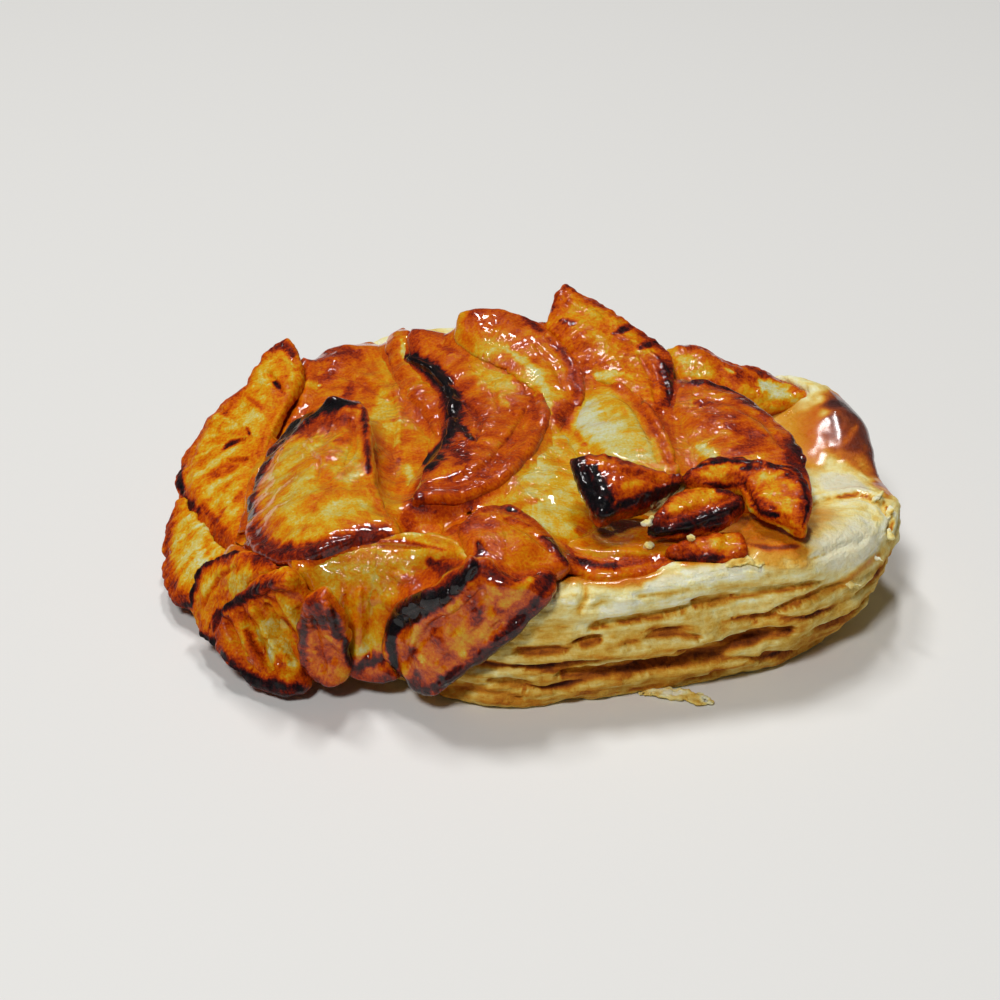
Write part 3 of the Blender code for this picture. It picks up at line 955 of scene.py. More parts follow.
SLICES = (
    AppleSlice(
        "slice_wedge_burnt", flesh=AMBER, rim_bake=BROWN, core_bake=BROWN, rim_width=0.5, core_width=0.5,
        wet=0.6,
        rim=((5, -20, 29.5), (9.5, -20, 30.5), (15, -20.5, 29), (22.5, -21, 26)),
        core=((5, -20, 29.5), (6.5, -26.5, 27.5), (9.5, -31.5, 26.5), (16.5, -27, 26), (22.5, -21, 26)),
        marks=(
            stain(AMBER, 30, (620, 478), (655, 478)),
            stain(CHAR, 26, (575, 464), (583, 478), (592, 492), (603, 505)),
            stain(CHAR, 8, (590, 464), (602, 484), (612, 500)),
            stain(SCORCH, 5, (596, 453), (620, 455), (650, 463), (684, 477)),
            stain(BURNT, 8, (617, 506), (642, 499), (666, 490), (688, 483)),
            stain(RUST, 7, (625, 470), (645, 472)),
            stain(HONEY, 7, (622, 486), (645, 482)),
            ridge(0.6, 6, (592, 452), (620, 456), (650, 464), (684, 478)),
            groove(0.5, 6, (612, 470), (640, 476), (664, 484)),
            groove(0.5, 8, (584, 470), (596, 492)),
        ),
    ),
    AppleSlice(
        "slice_leaf", flesh=GOLD, rim_bake=RUST, core_bake=SCORCH, rim_width=0.9, core_width=0.9, wet=0.4,
        rim=((15.5, -32, 24.5), (19.5, -25.5, 26), (24.5, -23, 26.5), (28.5, -24, 26), (30.5, -26, 25)),
        core=((15.5, -32, 24.5), (20.5, -31.5, 24.5), (26.5, -30, 24.5), (30.5, -26, 25)),
        marks=(
            stain(BURNT, 10, (650, 533), (672, 532), (692, 525), (714, 516), (737, 506)),
            stain(SCORCH, 8, (716, 489), (737, 492)),
            stain(HONEY, 11, (672, 508), (700, 494)),
            stain(RUST, 4, (664, 496), (684, 486)),
            ridge(0.4, 6, (655, 532), (692, 524), (736, 506)),
            groove(0.4, 6, (668, 518), (700, 508), (730, 498)),
        ),
    ),
    AppleSlice(
        "slice_hook", flesh=HONEY, rim_bake=SCORCH, core_bake=BROWN, rim_width=0.6, core_width=0.6,
        wet=0.25,
        rim=(
            (21, -19, 25.5), (26, -15, 26.5), (33, -16.5, 27), (38.5, -19.5, 27), (39.5, -26, 26),
            (38, -32, 24),
        ),
        core=(
            (21, -19, 25.5), (25, -20.5, 25.5), (29.5, -20.5, 25.5), (31, -25.5, 25), (33.5, -28.5, 24.5),
            (38, -32, 24),
        ),
        marks=(
            stain(
                BURNT, 5, (680, 474), (700, 465), (726, 460), (760, 462), (790, 470), (805, 484),
                (809, 506), (803, 527),
            ),
            stain(SCORCH, 5, (703, 483), (724, 487), (745, 483)),
            stain(BURNT, 5, (748, 486), (752, 500), (759, 511), (778, 516)),
            stain(SCORCH, 8, (742, 469), (765, 467)),
            stain(BROWN, 9, (787, 474), (800, 480)),
            stain(HONEY, 10, (775, 495), (788, 510)),
            stain(HONEY, 10, (700, 474), (725, 474)),
            ridge(0.3, 5, (684, 474), (720, 462), (762, 464), (796, 478), (807, 506)),
            groove(0.6, 6, (744, 486), (750, 500), (758, 512)),
        ),
    ),
    AppleSlice(
        "slice_under_leaf", flesh=HONEY, rim_bake=RUST, core_bake=RUST, rim_width=0.7, core_width=0.7,
        wet=0.4,
        rim=((18.5, -34, 21.5), (22.5, -31, 22.5), (29, -29.5, 22.5), (30, -34, 21.5)),
        core=((18.5, -34, 21.5), (22, -35, 21), (27, -35, 21), (30, -34, 21.5)),
        marks=(
            # painted shade along its front edge
            stain(SCORCH, 8, (655, 562), (690, 560), (722, 558)),
            stain(RUST, 7, (744, 530), (746, 550)),
            stain(HONEY, 16, (715, 540), (735, 542)),
        ),
    ),
    AppleSlice(
        "slice_front_centre", flesh=GOLD, rim_bake=RUST, core_bake=AMBER, rim_width=1.1, core_width=0.9,
        wet=0.95,
        rim=((-11.5, -33, 24.5), (-9, -28.5, 25.5), (-3.5, -27.5, 25.5), (2, -32, 24), (5, -38.5, 21.5)),
        core=(
            (-11.5, -33, 24.5), (-9.5, -38.5, 23.5), (-4.5, -43, 21.5), (0.5, -41, 20.5), (5, -38.5, 21.5),
        ),
        marks=(
            stain(RUST, 12, (462, 528), (470, 513)),
            stain(GOLD, 13, (505, 545), (520, 560)),
            stain(HONEY, 7, (500, 535), (512, 530)),
            stain(AMBER, 11, (470, 548), (490, 575)),
            stain(BURNT, 5, (500, 506), (516, 511)),
            stain(SCORCH, 12, (542, 536), (556, 544), (570, 560)),
            stain(SCORCH, 10, (478, 545), (482, 560), (486, 585)),
            stain(RUST, 5, (505, 518), (530, 525)),
            ridge(0.5, 7, (470, 512), (500, 504), (520, 512)),
            groove(0.5, 7, (478, 540), (486, 565), (492, 588)),
            groove(0.4, 6, (505, 520), (530, 532), (552, 552)),
        ),
    ),
    AppleSlice(
        "slice_front_folded", flesh=GOLD, rim_bake=BROWN, core_bake=BROWN, rim_width=1.2, core_width=0.6,
        wet=0.75, lumps=0.6,
        rim=(
            (3.5, -38, 21.5), (2, -43, 19.5), (-2, -46, 15.5), (-9, -45.5, 9), (-16, -45, 3.5),
            (-21.5, -39, 5),
        ),
        core=(
            (3.5, -38, 21.5), (-3, -45, 22), (-8, -43.5, 24.5), (-16, -44, 19.5), (-21, -39, 13),
            (-21.5, -39, 5),
        ),
        marks=(
            stain(GOLD, 46, (450, 640), (490, 625)),
            stain(RUST, 14, (520, 590), (500, 612)),
            stain(BROWN, 10, (484, 604), (470, 628)),
            stain(RUST, 10, (432, 634), (446, 650)),
            stain(BROWN, 8, (412, 650), (420, 664)),
            stain(RUST, 8, (480, 640), (468, 656)),
            stain(
                CHAR, 13, (393, 668), (391, 640), (397, 616), (415, 604), (440, 598), (460, 583),
                (474, 565),
            ),
            stain(CHAR, 16, (398, 626), (415, 610), (445, 602)),
            stain(RUST, 12, (470, 590), (474, 615)),
            stain(HONEY, 20, (455, 644), (482, 634)),
            stain(HONEY, 12, (505, 605), (530, 580)),
            stain(
                SCORCH, 13, (560, 568), (546, 588), (530, 610), (512, 630), (494, 650), (468, 666),
                (436, 688),
            ),
            stain(YELLOW, 9, (422, 660)),
            stain(YELLOW, 8, (462, 655)),
            stain(SCORCH, 12, (400, 682), (424, 692)),
            ridge(0.5, 10, (432, 634), (446, 650)),
            ridge(0.5, 9, (484, 604), (470, 628)),
            groove(0.5, 8, (460, 614), (452, 632)),
            groove(0.4, 7, (500, 622), (484, 640)),
            ridge(
                1.1, 12, (391, 668), (391, 640), (397, 616), (415, 604), (440, 598), (460, 583), (474, 565),
            ),
            groove(0.7, 9, (414, 650), (430, 628), (462, 612), (484, 592)),
            ridge(0.5, 8, (560, 572), (540, 605), (512, 632), (480, 656), (440, 684)),
        ),
    ),
    AppleSlice(
        "slice_front_tip", flesh=GOLD, rim_bake=BROWN, core_bake=AMBER, rim_width=0.8, core_width=0.5,
        wet=0.6, lumps=0.5,
        rim=((-30, -43.5, 19), (-33, -43, 17), (-34, -41, 10.5), (-33.5, -41, 5), (-30, -42, 3)),
        core=((-30, -43.5, 19), (-28, -44, 16), (-27, -42, 9), (-27.5, -42, 4.5), (-30, -42, 3)),
        marks=(
            stain(GOLD, 30, (312, 640), (330, 668)),
            stain(BROWN, 18, (314, 606), (322, 624)),
            stain(BROWN, 8, (302, 622), (304, 650)),
            stain(SCORCH, 8, (330, 612), (338, 640)),
            stain(RUST, 9, (318, 648), (330, 662)),
            stain(BURNT, 9, (345, 640), (354, 668)),
            stain(YELLOW, 8, (310, 662)),
            groove(0.6, 6, (312, 615), (318, 645), (326, 672)),
            ridge(0.6, 7, (326, 604), (336, 632), (344, 660)),
        ),
    ),
    AppleSlice(
        "slice_left_drooped", flesh=HONEY, rim_bake=BROWN, core_bake=RUST, rim_width=1.3, core_width=0.6,
        wet=0.3, lumps=0.6,
        rim=(
            (-36, -40.5, 19), (-40, -36, 16.5), (-43.5, -34, 12), (-47, -34, 6), (-43, -38, 3),
            (-38, -41, 2.5), (-33.5, -42, 3),
        ),
        core=((-36, -40.5, 19), (-32.5, -38.5, 14.5), (-31.5, -37.5, 7), (-33.5, -42, 3)),
        marks=(
            stain(BURNT, 9, (216, 622), (224, 606), (244, 596), (265, 584), (284, 580)),
            stain(RUST, 12, (246, 632), (256, 655), (266, 672)),
            stain(BURNT, 10, (222, 655), (240, 674), (262, 684), (300, 688)),
            stain(YELLOW, 14, (270, 620), (286, 650)),
            stain(STRAW, 6, (292, 664)),
            stain(RUST, 8, (305, 676), (322, 660)),
            stain(AMBER, 6, (240, 610), (262, 602)),
            stain(GOLD, 40, (296, 584), (312, 596)),
            stain(HONEY, 14, (300, 610), (310, 630)),
            ridge(0.7, 7, (218, 620), (240, 600), (270, 585)),
            groove(1.1, 7, (244, 612), (256, 640), (272, 668)),
            groove(1, 7, (266, 604), (284, 632), (300, 660)),
            ridge(1, 9, (255, 606), (270, 636), (288, 664)),
            groove(1, 7, (226, 620), (238, 646), (252, 668)),
            ridge(0.8, 8, (234, 614), (246, 640), (262, 668)),
            ridge(0.8, 8, (278, 594), (296, 620), (306, 650)),
        ),
    ),
    AppleSlice(
        "slice_left_round", flesh=HONEY, rim_bake=BROWN, core_bake=GOLD, rim_width=1.3, core_width=0.4,
        wet=0.75,
        rim=(
            (-27.5, 7, 26), (-31, 8, 25.5), (-37, 8.5, 22.5), (-41, 5, 19), (-43.5, -4.5, 17.5),
            (-43.5, -15.5, 17.5), (-41, -27.5, 18.5), (-36, -34, 20), (-30, -34.5, 21.5),
            (-24.5, -32.5, 22.5), (-19.5, -31.5, 23.5),
        ),
        core=(
            (-27.5, 7, 26), (-26, -0.5, 26), (-25, -10.5, 25.5), (-24, -18.5, 25), (-22, -24.5, 24),
            (-19.5, -31.5, 23.5),
        ),
        marks=(
            stain(RUST, 26, (300, 430), (322, 420), (348, 418)),
            stain(CHAR, 17, (279, 444), (289, 429), (304, 416), (322, 406), (342, 400), (360, 401)),
            stain(SCORCH, 13, (274, 448), (263, 465), (254, 482), (248, 500), (248, 518)),
            stain(SCORCH, 8, (362, 402), (365, 425), (367, 448), (368, 472)),
            stain(AMBER, 14, (355, 432), (340, 440)),
            stain(
                BROWN, 17, (250, 530), (260, 545), (276, 554), (298, 555), (322, 548), (350, 540),
                (385, 531),
            ),
            stain(YELLOW, 16, (285, 500), (295, 520)),
            stain(YELLOW, 12, (275, 485), (290, 460)),
            stain(GOLD, 12, (320, 470), (330, 490)),
            ridge(0.5, 6, (277, 440), (285, 426), (300, 413), (318, 403), (340, 396), (358, 395)),
            ridge(0.6, 11, (243, 528), (254, 546), (272, 557), (298, 557), (322, 549), (350, 540)),
            ridge(0.6, 6, (362, 400), (366, 425), (367, 448), (366, 470)),
            groove(0.5, 7, (352, 420), (354, 445), (346, 465)),
            ridge(0.4, 6, (333, 482), (346, 470), (358, 461)),
            groove(0.4, 6, (300, 445), (318, 460), (316, 480)),
        ),
    ),
    AppleSlice(
        "slice_front_draped", flesh=HONEY, rim_bake=BROWN, core_bake=HONEY, rim_width=1.2, core_width=0.6,
        wet=0.8,
        rim=(
            (-35.5, -39, 17.5), (-36, -37, 9.5), (-30, -39.5, 5.5), (-23.5, -41.5, 3.5), (-17, -41, 6),
            (-11.5, -40.5, 15), (-9, -39.5, 23.5),
        ),
        core=(
            (-35.5, -39, 17.5), (-35, -36.5, 20), (-32.5, -35, 20.5), (-29, -34, 21.5), (-21.5, -32.5, 23),
            (-12, -35.5, 23.5), (-9, -39.5, 23.5),
        ),
        marks=(
            stain(YELLOW, 12, (345, 566), (372, 576), (345, 580)),
            stain(AMBER, 24, (408, 582), (440, 588)),
            stain(BROWN, 14, (432, 562), (464, 572)),
            stain(YELLOW, 5, (308, 546), (340, 535), (380, 530), (424, 534)),
            stain(RUST, 3, (335, 541), (400, 541), (456, 552)),
            stain(GOLD, 12, (360, 605), (356, 630)),
            stain(RUST, 8, (392, 610), (388, 640)),
            # the browned rim where it hangs down, darkened further with painted shade
            stain(SCORCH, 14, (330, 662), (358, 668), (385, 658)),
            stain(HONEY, 9, (345, 630), (350, 645)),
            stain(YELLOW, 32, (296, 570), (300, 590)),
            stain(YELLOW, 24, (330, 575), (325, 590)),
            stain(YELLOW, 7, (437, 556)),
            groove(1.3, 14, (293, 560), (300, 563)),
            groove(0.6, 7, (345, 596), (342, 625), (346, 655)),
            groove(0.6, 7, (375, 592), (370, 622), (368, 655)),
            ridge(0.5, 9, (360, 590), (357, 622), (358, 655)),
            groove(0.5, 6, (322, 590), (318, 612)),
            ridge(0.5, 5, (305, 548), (340, 536), (380, 530), (424, 534), (460, 546)),
            groove(0.4, 5, (320, 556), (360, 545), (420, 548)),
            ridge(0.5, 12, (398, 575), (425, 590)),
        ),
    ),
    AppleSlice(
        "slice_left_front", flesh=HONEY, rim_bake=BROWN, core_bake=AMBER, rim_width=1, core_width=0.5,
        wet=0.2, lumps=0.35,
        rim=(
            (-34, -35, 19.5), (-43, -27, 17.5), (-49, -22.5, 12.5), (-52, -23.5, 7), (-50, -28.5, 4.5),
            (-46.5, -32.5, 4),
        ),
        core=((-34, -35, 19.5), (-37, -37, 14.5), (-42, -35.5, 8), (-46.5, -32.5, 4)),
        marks=(
            stain(BURNT, 8, (190, 606), (191, 584), (199, 567), (214, 557), (236, 550)),
            stain(SCORCH, 12, (212, 628), (222, 612)),
            stain(CHAR, 12, (200, 636), (216, 648)),
            stain(AMBER, 5, (206, 598), (222, 574), (240, 565)),
            stain(YELLOW, 9, (225, 590), (250, 572)),
            groove(0.5, 5, (204, 606), (214, 582), (236, 566)),
            ridge(0.4, 5, (190, 600), (198, 570), (220, 557)),
        ),
    ),
    AppleSlice(
        "slice_middle_burnt", flesh=AMBER, rim_bake=RUST, core_bake=RUST, rim_width=0.9, core_width=0.8,
        wet=1,
        rim=(
            (-20, 34.5, 26), (-15, 32, 26.5), (-9.5, 28.5, 26.5), (-4, 23.5, 26), (0, 14, 25.5),
            (2, 4, 24.5), (0, -7, 24), (-4, -15, 23.5), (-9.5, -20.5, 23), (-18, -22.5, 23.5),
        ),
        core=(
            (-20, 34.5, 26), (-20.5, 27, 24.5), (-17.5, 20.5, 24), (-14, 13, 23.5), (-12.5, 4, 23.5),
            (-14.5, -5, 23.5), (-17, -13.5, 23), (-18, -22.5, 23.5),
        ),
        marks=(
            stain(
                CHAR, 15, (408, 356), (420, 360), (432, 368), (446, 384), (454, 400), (455, 414),
                (450, 428), (443, 440), (434, 450),
            ),
            stain(CHAR, 20, (452, 410)),
            stain(CHAR, 22, (430, 457)),
            stain(BURNT, 6, (452, 416), (462, 428), (472, 438)),
            stain(BURNT, 6, (456, 404), (466, 414)),
            stain(RUST, 12, (465, 400), (484, 420)),
            stain(BROWN, 11, (448, 478), (466, 456), (446, 446)),
            stain(GOLD, 9, (425, 478), (462, 466)),
            stain(
                AMBER, 11, (536, 392), (543, 415), (532, 444), (510, 470), (484, 488), (455, 496),
                (430, 497),
            ),
            stain(RUST, 4, (518, 426), (498, 452), (478, 472), (458, 486)),
            stain(AMBER, 12, (420, 336), (446, 334)),
            stain(RUST, 9, (440, 346), (462, 352)),
            stain(YELLOW, 30, (486, 364), (504, 386)),
            stain(YELLOW, 8, (500, 395), (508, 404)),
            stain(BROWN, 10, (413, 494), (420, 497)),
            stain(RUST, 5, (498, 352), (520, 370), (536, 392)),
            stain(BROWN, 10, (428, 378), (440, 392)),
            ridge(0.8, 13, (538, 385), (545, 417), (528, 450), (494, 485), (460, 498), (418, 498)),
            groove(0.6, 10, (528, 408), (514, 438), (486, 468), (455, 482), (428, 484)),
            ridge(0.9, 9, (408, 358), (432, 370), (448, 388), (454, 404), (452, 424), (442, 444)),
            groove(0.5, 7, (464, 402), (480, 420), (476, 440)),
            ridge(0.4, 8, (480, 352), (506, 366), (524, 392)),
            groove(0.4, 6, (470, 366), (492, 384), (500, 412)),
        ),
    ),
    AppleSlice(
        "slice_middle_pale", flesh=YELLOW, rim_bake=RUST, core_bake=HONEY, rim_width=0.9, core_width=0.7,
        wet=1,
        rim=(
            (8.5, 16.5, 24.5), (12.5, 14, 25.5), (16, 9, 25.5), (18.5, 2.5, 25), (20, -5, 24.5),
            (21.5, -13.5, 23),
        ),
        core=((8.5, 16.5, 24.5), (6, 11, 23.5), (5, 1.5, 23), (8.5, -9, 23), (21.5, -13.5, 23)),
        marks=(
            stain(CREAM, 34, (584, 410), (596, 430)),
            stain(STRAW, 20, (605, 445), (632, 456)),
            stain(
                AMBER, 7, (588, 381), (611, 382), (634, 393), (648, 411), (661, 432), (670, 456),
                (675, 472),
            ),
            stain(BURNT, 5, (642, 401)),
            stain(GOLD, 8, (568, 425), (585, 444)),
            stain(YELLOW, 11, (640, 430), (630, 410)),
            ridge(
                0.8, 7, (586, 379), (611, 382), (634, 393), (648, 411), (661, 432), (670, 456), (676, 472),
            ),
            groove(0.4, 7, (590, 392), (612, 392), (630, 402), (642, 420), (652, 442), (658, 462)),
        ),
    ),
    AppleSlice(
        "slice_back_centre", flesh=GOLD, rim_bake=RUST, core_bake=HONEY, rim_width=1.2, core_width=0.7,
        wet=0.85,
        rim=(
            (-12, 31.5, 30), (-5, 30.5, 31), (1.5, 27, 30), (6, 19.5, 27.5), (8, 10.5, 25.5),
            (3.5, -0.5, 23.5),
        ),
        core=((-12, 31.5, 30), (-13, 27.5, 27.5), (-9, 16.5, 24.5), (-3.5, 5, 23), (3.5, -0.5, 23.5)),
        marks=(
            stain(AMBER, 13, (465, 324), (492, 321), (520, 322)),
            stain(BROWN, 8, (524, 315), (542, 330)),
            stain(RUST, 11, (548, 338), (564, 352), (577, 372), (581, 392), (578, 408)),
            stain(GOLD, 11, (545, 352), (562, 375)),
            stain(STRAW, 10, (506, 348), (530, 366), (545, 388), (549, 412)),
            stain(GOLD, 8, (480, 334), (520, 336)),
            ridge(0.6, 8, (546, 336), (564, 352), (577, 372), (581, 392), (578, 408)),
            groove(0.4, 7, (536, 346), (554, 366), (566, 390)),
        ),
    ),
    AppleSlice(
        "slice_back_peak", flesh=GOLD, rim_bake=BROWN, core_bake=AMBER, rim_width=1.3, core_width=0.8,
        wet=0.4,
        rim=(
            (5.5, 37, 33), (11, 33.5, 31.5), (17, 27.5, 29.5), (22, 21.5, 27.5), (22.5, 14, 25.5),
            (21, 5.5, 24),
        ),
        core=((5.5, 37, 33), (2.5, 27, 30), (7, 17.5, 26.5), (11, 9, 24), (16, 5, 23), (21, 5.5, 24)),
        marks=(
            stain(BROWN, 8, (551, 310), (556, 290), (567, 283), (583, 292)),
            stain(BROWN, 8, (560, 320), (574, 322)),
            stain(SCORCH, 7, (612, 333), (628, 326), (642, 320)),
            stain(SCORCH, 8, (640, 347), (660, 340)),
            stain(HONEY, 12, (580, 310), (605, 312)),
            stain(GOLD, 13, (640, 372), (645, 398)),
            stain(SCORCH, 8, (655, 352), (665, 364), (670, 385), (672, 408)),
            stain(STRAW, 11, (598, 376), (622, 372)),
            stain(AMBER, 9, (580, 352), (602, 366)),
            stain(HONEY, 11, (600, 350), (625, 356)),
            ridge(0.4, 5, (612, 333), (640, 346), (662, 364), (671, 392), (672, 408)),
            groove(0.5, 7, (640, 356), (654, 380), (656, 402)),
            ridge(0.4, 8, (566, 300), (600, 318)),
        ),
    ),
    AppleSlice(
        "slice_right_glazed", flesh=GOLD, rim_bake=SCORCH, core_bake=GOLD, rim_width=1.5, core_width=0.8,
        wet=0.95,
        rim=(
            (22, 15, 24.5), (27, 15.5, 25.5), (33.5, 9.5, 25.5), (38.5, -0.5, 25), (40.5, -10, 24.5),
            (40.5, -17, 23),
        ),
        core=(
            (22, 15, 24.5), (21, 3, 23), (22.5, -10.5, 22), (30, -19, 21.5), (36.5, -20.5, 21.5),
            (40.5, -17, 23),
        ),
        marks=(
            stain(RUST, 15, (730, 425), (760, 437), (735, 452)),
            stain(RUST, 10, (697, 402), (722, 402)),
            stain(
                SCORCH, 8, (690, 381), (716, 383), (742, 391), (762, 401), (785, 419), (798, 440),
                (805, 466),
            ),
            stain(GOLD, 13, (680, 418), (684, 440)),
            stain(STRAW, 9, (698, 446), (716, 456)),
            stain(GOLD, 12, (762, 424), (786, 432)),
            stain(BROWN, 10, (790, 448), (796, 470)),
            stain(GOLD, 8, (742, 405), (758, 412)),
            ridge(
                0.5, 6, (690, 381), (716, 383), (742, 391), (762, 401), (785, 419), (798, 440), (805, 466),
            ),
            groove(0.4, 8, (694, 394), (730, 402), (764, 420), (784, 448)),
        ),
    ),
    AppleSlice(
        "slice_middle_low", flesh=YELLOW, rim_bake=HONEY, core_bake=HONEY, rim_width=0.8, core_width=0.7,
        wet=1,
        rim=((4.5, 13, 22.5), (10, -2.5, 21.5), (11, -18, 21), (5.5, -29, 21), (-6.5, -29.5, 21.5)),
        core=((4.5, 13, 22.5), (0.5, 8.5, 23), (-4.5, -11.5, 22.5), (-8, -24.5, 22), (-6.5, -29.5, 21.5)),
        marks=(
            stain(STRAW, 17, (525, 475), (552, 468)),
            stain(HONEY, 12, (575, 495), (585, 515)),
            stain(GOLD, 8, (512, 505), (535, 500)),
            stain(AMBER, 11, (600, 515), (580, 530)),
            stain(HONEY, 11, (560, 440), (575, 455)),
        ),
    ),
    AppleSlice(
        "slice_front_low", flesh=HONEY, rim_bake=AMBER, core_bake=AMBER, rim_width=0.8, core_width=0.7,
        wet=0.95,
        rim=((0, -26.5, 20.5), (5, -18, 20), (12.5, -17, 20), (20, -22.5, 20), (25, -31.5, 20)),
        core=((0, -26.5, 20.5), (5.5, -36.5, 20), (11.5, -38, 20), (18.5, -35.5, 20), (25, -31.5, 20)),
        marks=(
            stain(GOLD, 34, (580, 532), (650, 534)),
            stain(SCORCH, 9, (562, 548), (578, 560), (600, 566), (640, 562)),
            stain(RUST, 8, (620, 562), (665, 558)),
            groove(0.5, 5, (565, 548), (600, 558), (650, 556)),
        ),
    ),
    AppleSlice(
        "slice_right_back", flesh=GOLD, rim_bake=RUST, core_bake=HONEY, rim_width=1.2, core_width=0.7,
        wet=0.5,
        rim=((22, 26.5, 26), (27, 27, 26.5), (32.5, 25, 24.5), (40.5, 24, 22), (46, 18.5, 20.5)),
        core=((22, 26.5, 26), (24, 17.5, 23), (31, 14.5, 21.5), (38.5, 15.5, 20.5), (46, 18.5, 20.5)),
        marks=(
            stain(YELLOW, 10, (680, 358), (695, 362)),
            stain(AMBER, 9, (700, 350), (722, 362)),
            stain(YELLOW, 8, (685, 374), (700, 374)),
            stain(RUST, 9, (738, 372), (758, 380)),
            stain(BROWN, 8, (748, 366), (772, 378)),
            stain(STRAW, 5, (725, 368), (738, 374)),
            stain(GOLD, 9, (770, 402), (795, 405)),
            stain(CREAM, 20, (764, 386), (788, 395)),
        ),
    ),
    AppleSlice(
        "slice_left_inner", flesh=GOLD, rim_bake=AMBER, core_bake=AMBER, rim_width=0.8, core_width=0.6,
        wet=0.85,
        rim=((-21.5, 38, 25), (-24.5, 35, 23.5), (-23, 25, 22.5), (-19, 13.5, 22), (-14.5, 1, 21)),
        core=((-21.5, 38, 25), (-17, 29, 24), (-13.5, 15, 22.5), (-14.5, 1, 21)),
        marks=(
            stain(RUST, 7, (385, 352), (389, 372)),
            stain(STRAW, 5, (401, 338), (404, 356)),
            stain(SCORCH, 8, (410, 326), (414, 338)),
        ),
    ),
    AppleSlice(
        "slice_left_glazed", flesh=GOLD, rim_bake=AMBER, core_bake=GOLD, rim_width=0.9, core_width=0.7,
        wet=1,
        rim=(
            (-27, 39.5, 22), (-35.5, 36, 21), (-40, 29, 20), (-41.5, 20, 17.5), (-36, -2, 16),
            (-25.5, -21.5, 17.5), (-14, -27.5, 20.5),
        ),
        core=((-27, 39.5, 22), (-19.5, 27.5, 22), (-14, 10.5, 21), (-12, -10.5, 20.5), (-14, -27.5, 20.5)),
        marks=(
            stain(RUST, 26, (303, 356), (330, 350), (355, 352)),
            stain(RUST, 20, (330, 372), (316, 384)),
            stain(RUST, 12, (350, 384), (345, 400)),
            stain(YELLOW, 28, (385, 400), (392, 440)),
            stain(AMBER, 14, (360, 378), (372, 395)),
            stain(CREAM, 7, (322, 384), (300, 390), (286, 404), (279, 424)),
            stain(HONEY, 24, (360, 490), (385, 500)),
            stain(BURNT, 5, (400, 524), (414, 530)),
            stain(RUST, 8, (345, 528), (398, 519)),
            stain(STRAW, 9, (408, 466), (412, 488)),
            stain(RUST, 8, (398, 460), (385, 475)),
            ridge(0.5, 8, (298, 360), (330, 345), (370, 340)),
            groove(0.4, 8, (330, 372), (360, 380), (390, 400)),
            ridge(0.4, 6, (395, 380), (400, 420), (398, 450)),
        ),
    ),
    AppleSlice(
        "slice_left_back", flesh=HONEY, rim_bake=RUST, core_bake=GOLD, rim_width=1.4, core_width=0.7,
        wet=0.2,
        rim=(
            (-41, 33, 25), (-45, 31.5, 22.5), (-47.5, 26, 19.5), (-53, 23.5, 15), (-58, 14, 10),
            (-55.5, 2, 9.5), (-50.5, -9, 10.5), (-44, -19.5, 12.5),
        ),
        core=(
            (-41, 33, 25), (-38.5, 27, 23.5), (-39.5, 19, 21.5), (-42, 10.5, 18.5), (-43.5, -0.5, 16),
            (-43.5, -10.5, 14.5), (-44, -19.5, 12.5),
        ),
        marks=(
            stain(BROWN, 12, (266, 350), (280, 341), (293, 352)),
            stain(BURNT, 5, (273, 380), (280, 388)),
            stain(SCORCH, 6, (218, 451), (231, 443), (244, 438)),
            stain(RUST, 5, (228, 459), (247, 459)),
            stain(SCORCH, 4, (246, 427), (249, 433)),
            stain(BURNT, 10, (179, 462), (178, 480), (183, 497)),
            stain(RUST, 9, (200, 505), (213, 520), (226, 536)),
            stain(YELLOW, 12, (232, 485), (226, 508)),
            stain(AMBER, 7, (246, 395), (262, 408)),
            stain(AMBER, 7, (263, 438), (258, 456)),
            stain(SCORCH, 8, (185, 500), (200, 512)),
            stain(YELLOW, 7, (290, 365), (292, 378)),
            groove(0.5, 5, (216, 452), (244, 438)),
            groove(0.6, 6, (268, 372), (282, 392)),
            ridge(0.5, 7, (260, 362), (280, 345)),
            groove(0.4, 6, (228, 462), (248, 460)),
        ),
    ),
    AppleSlice(
        "slice_left_low", flesh=YELLOW, rim_bake=RUST, core_bake=GOLD, rim_width=1.8, core_width=0.7,
        wet=0.15,
        rim=((-56, 5.5, 10), (-58, 2, 7), (-58, -8, 5), (-56, -16, 4), (-52, -20.5, 3.5)),
        core=((-56, 5.5, 10), (-47.5, -10, 11.5), (-44.5, -20, 10.5), (-47, -23, 6.5), (-52, -20.5, 3.5)),
        marks=(
            stain(RUST, 8, (170, 518), (165, 545), (166, 570), (174, 592)),
            stain(SCORCH, 8, (182, 604), (190, 606)),
            stain(STRAW, 14, (196, 540), (200, 562)),
            stain(GOLD, 7, (212, 560), (214, 580)),
        ),
    ),
)
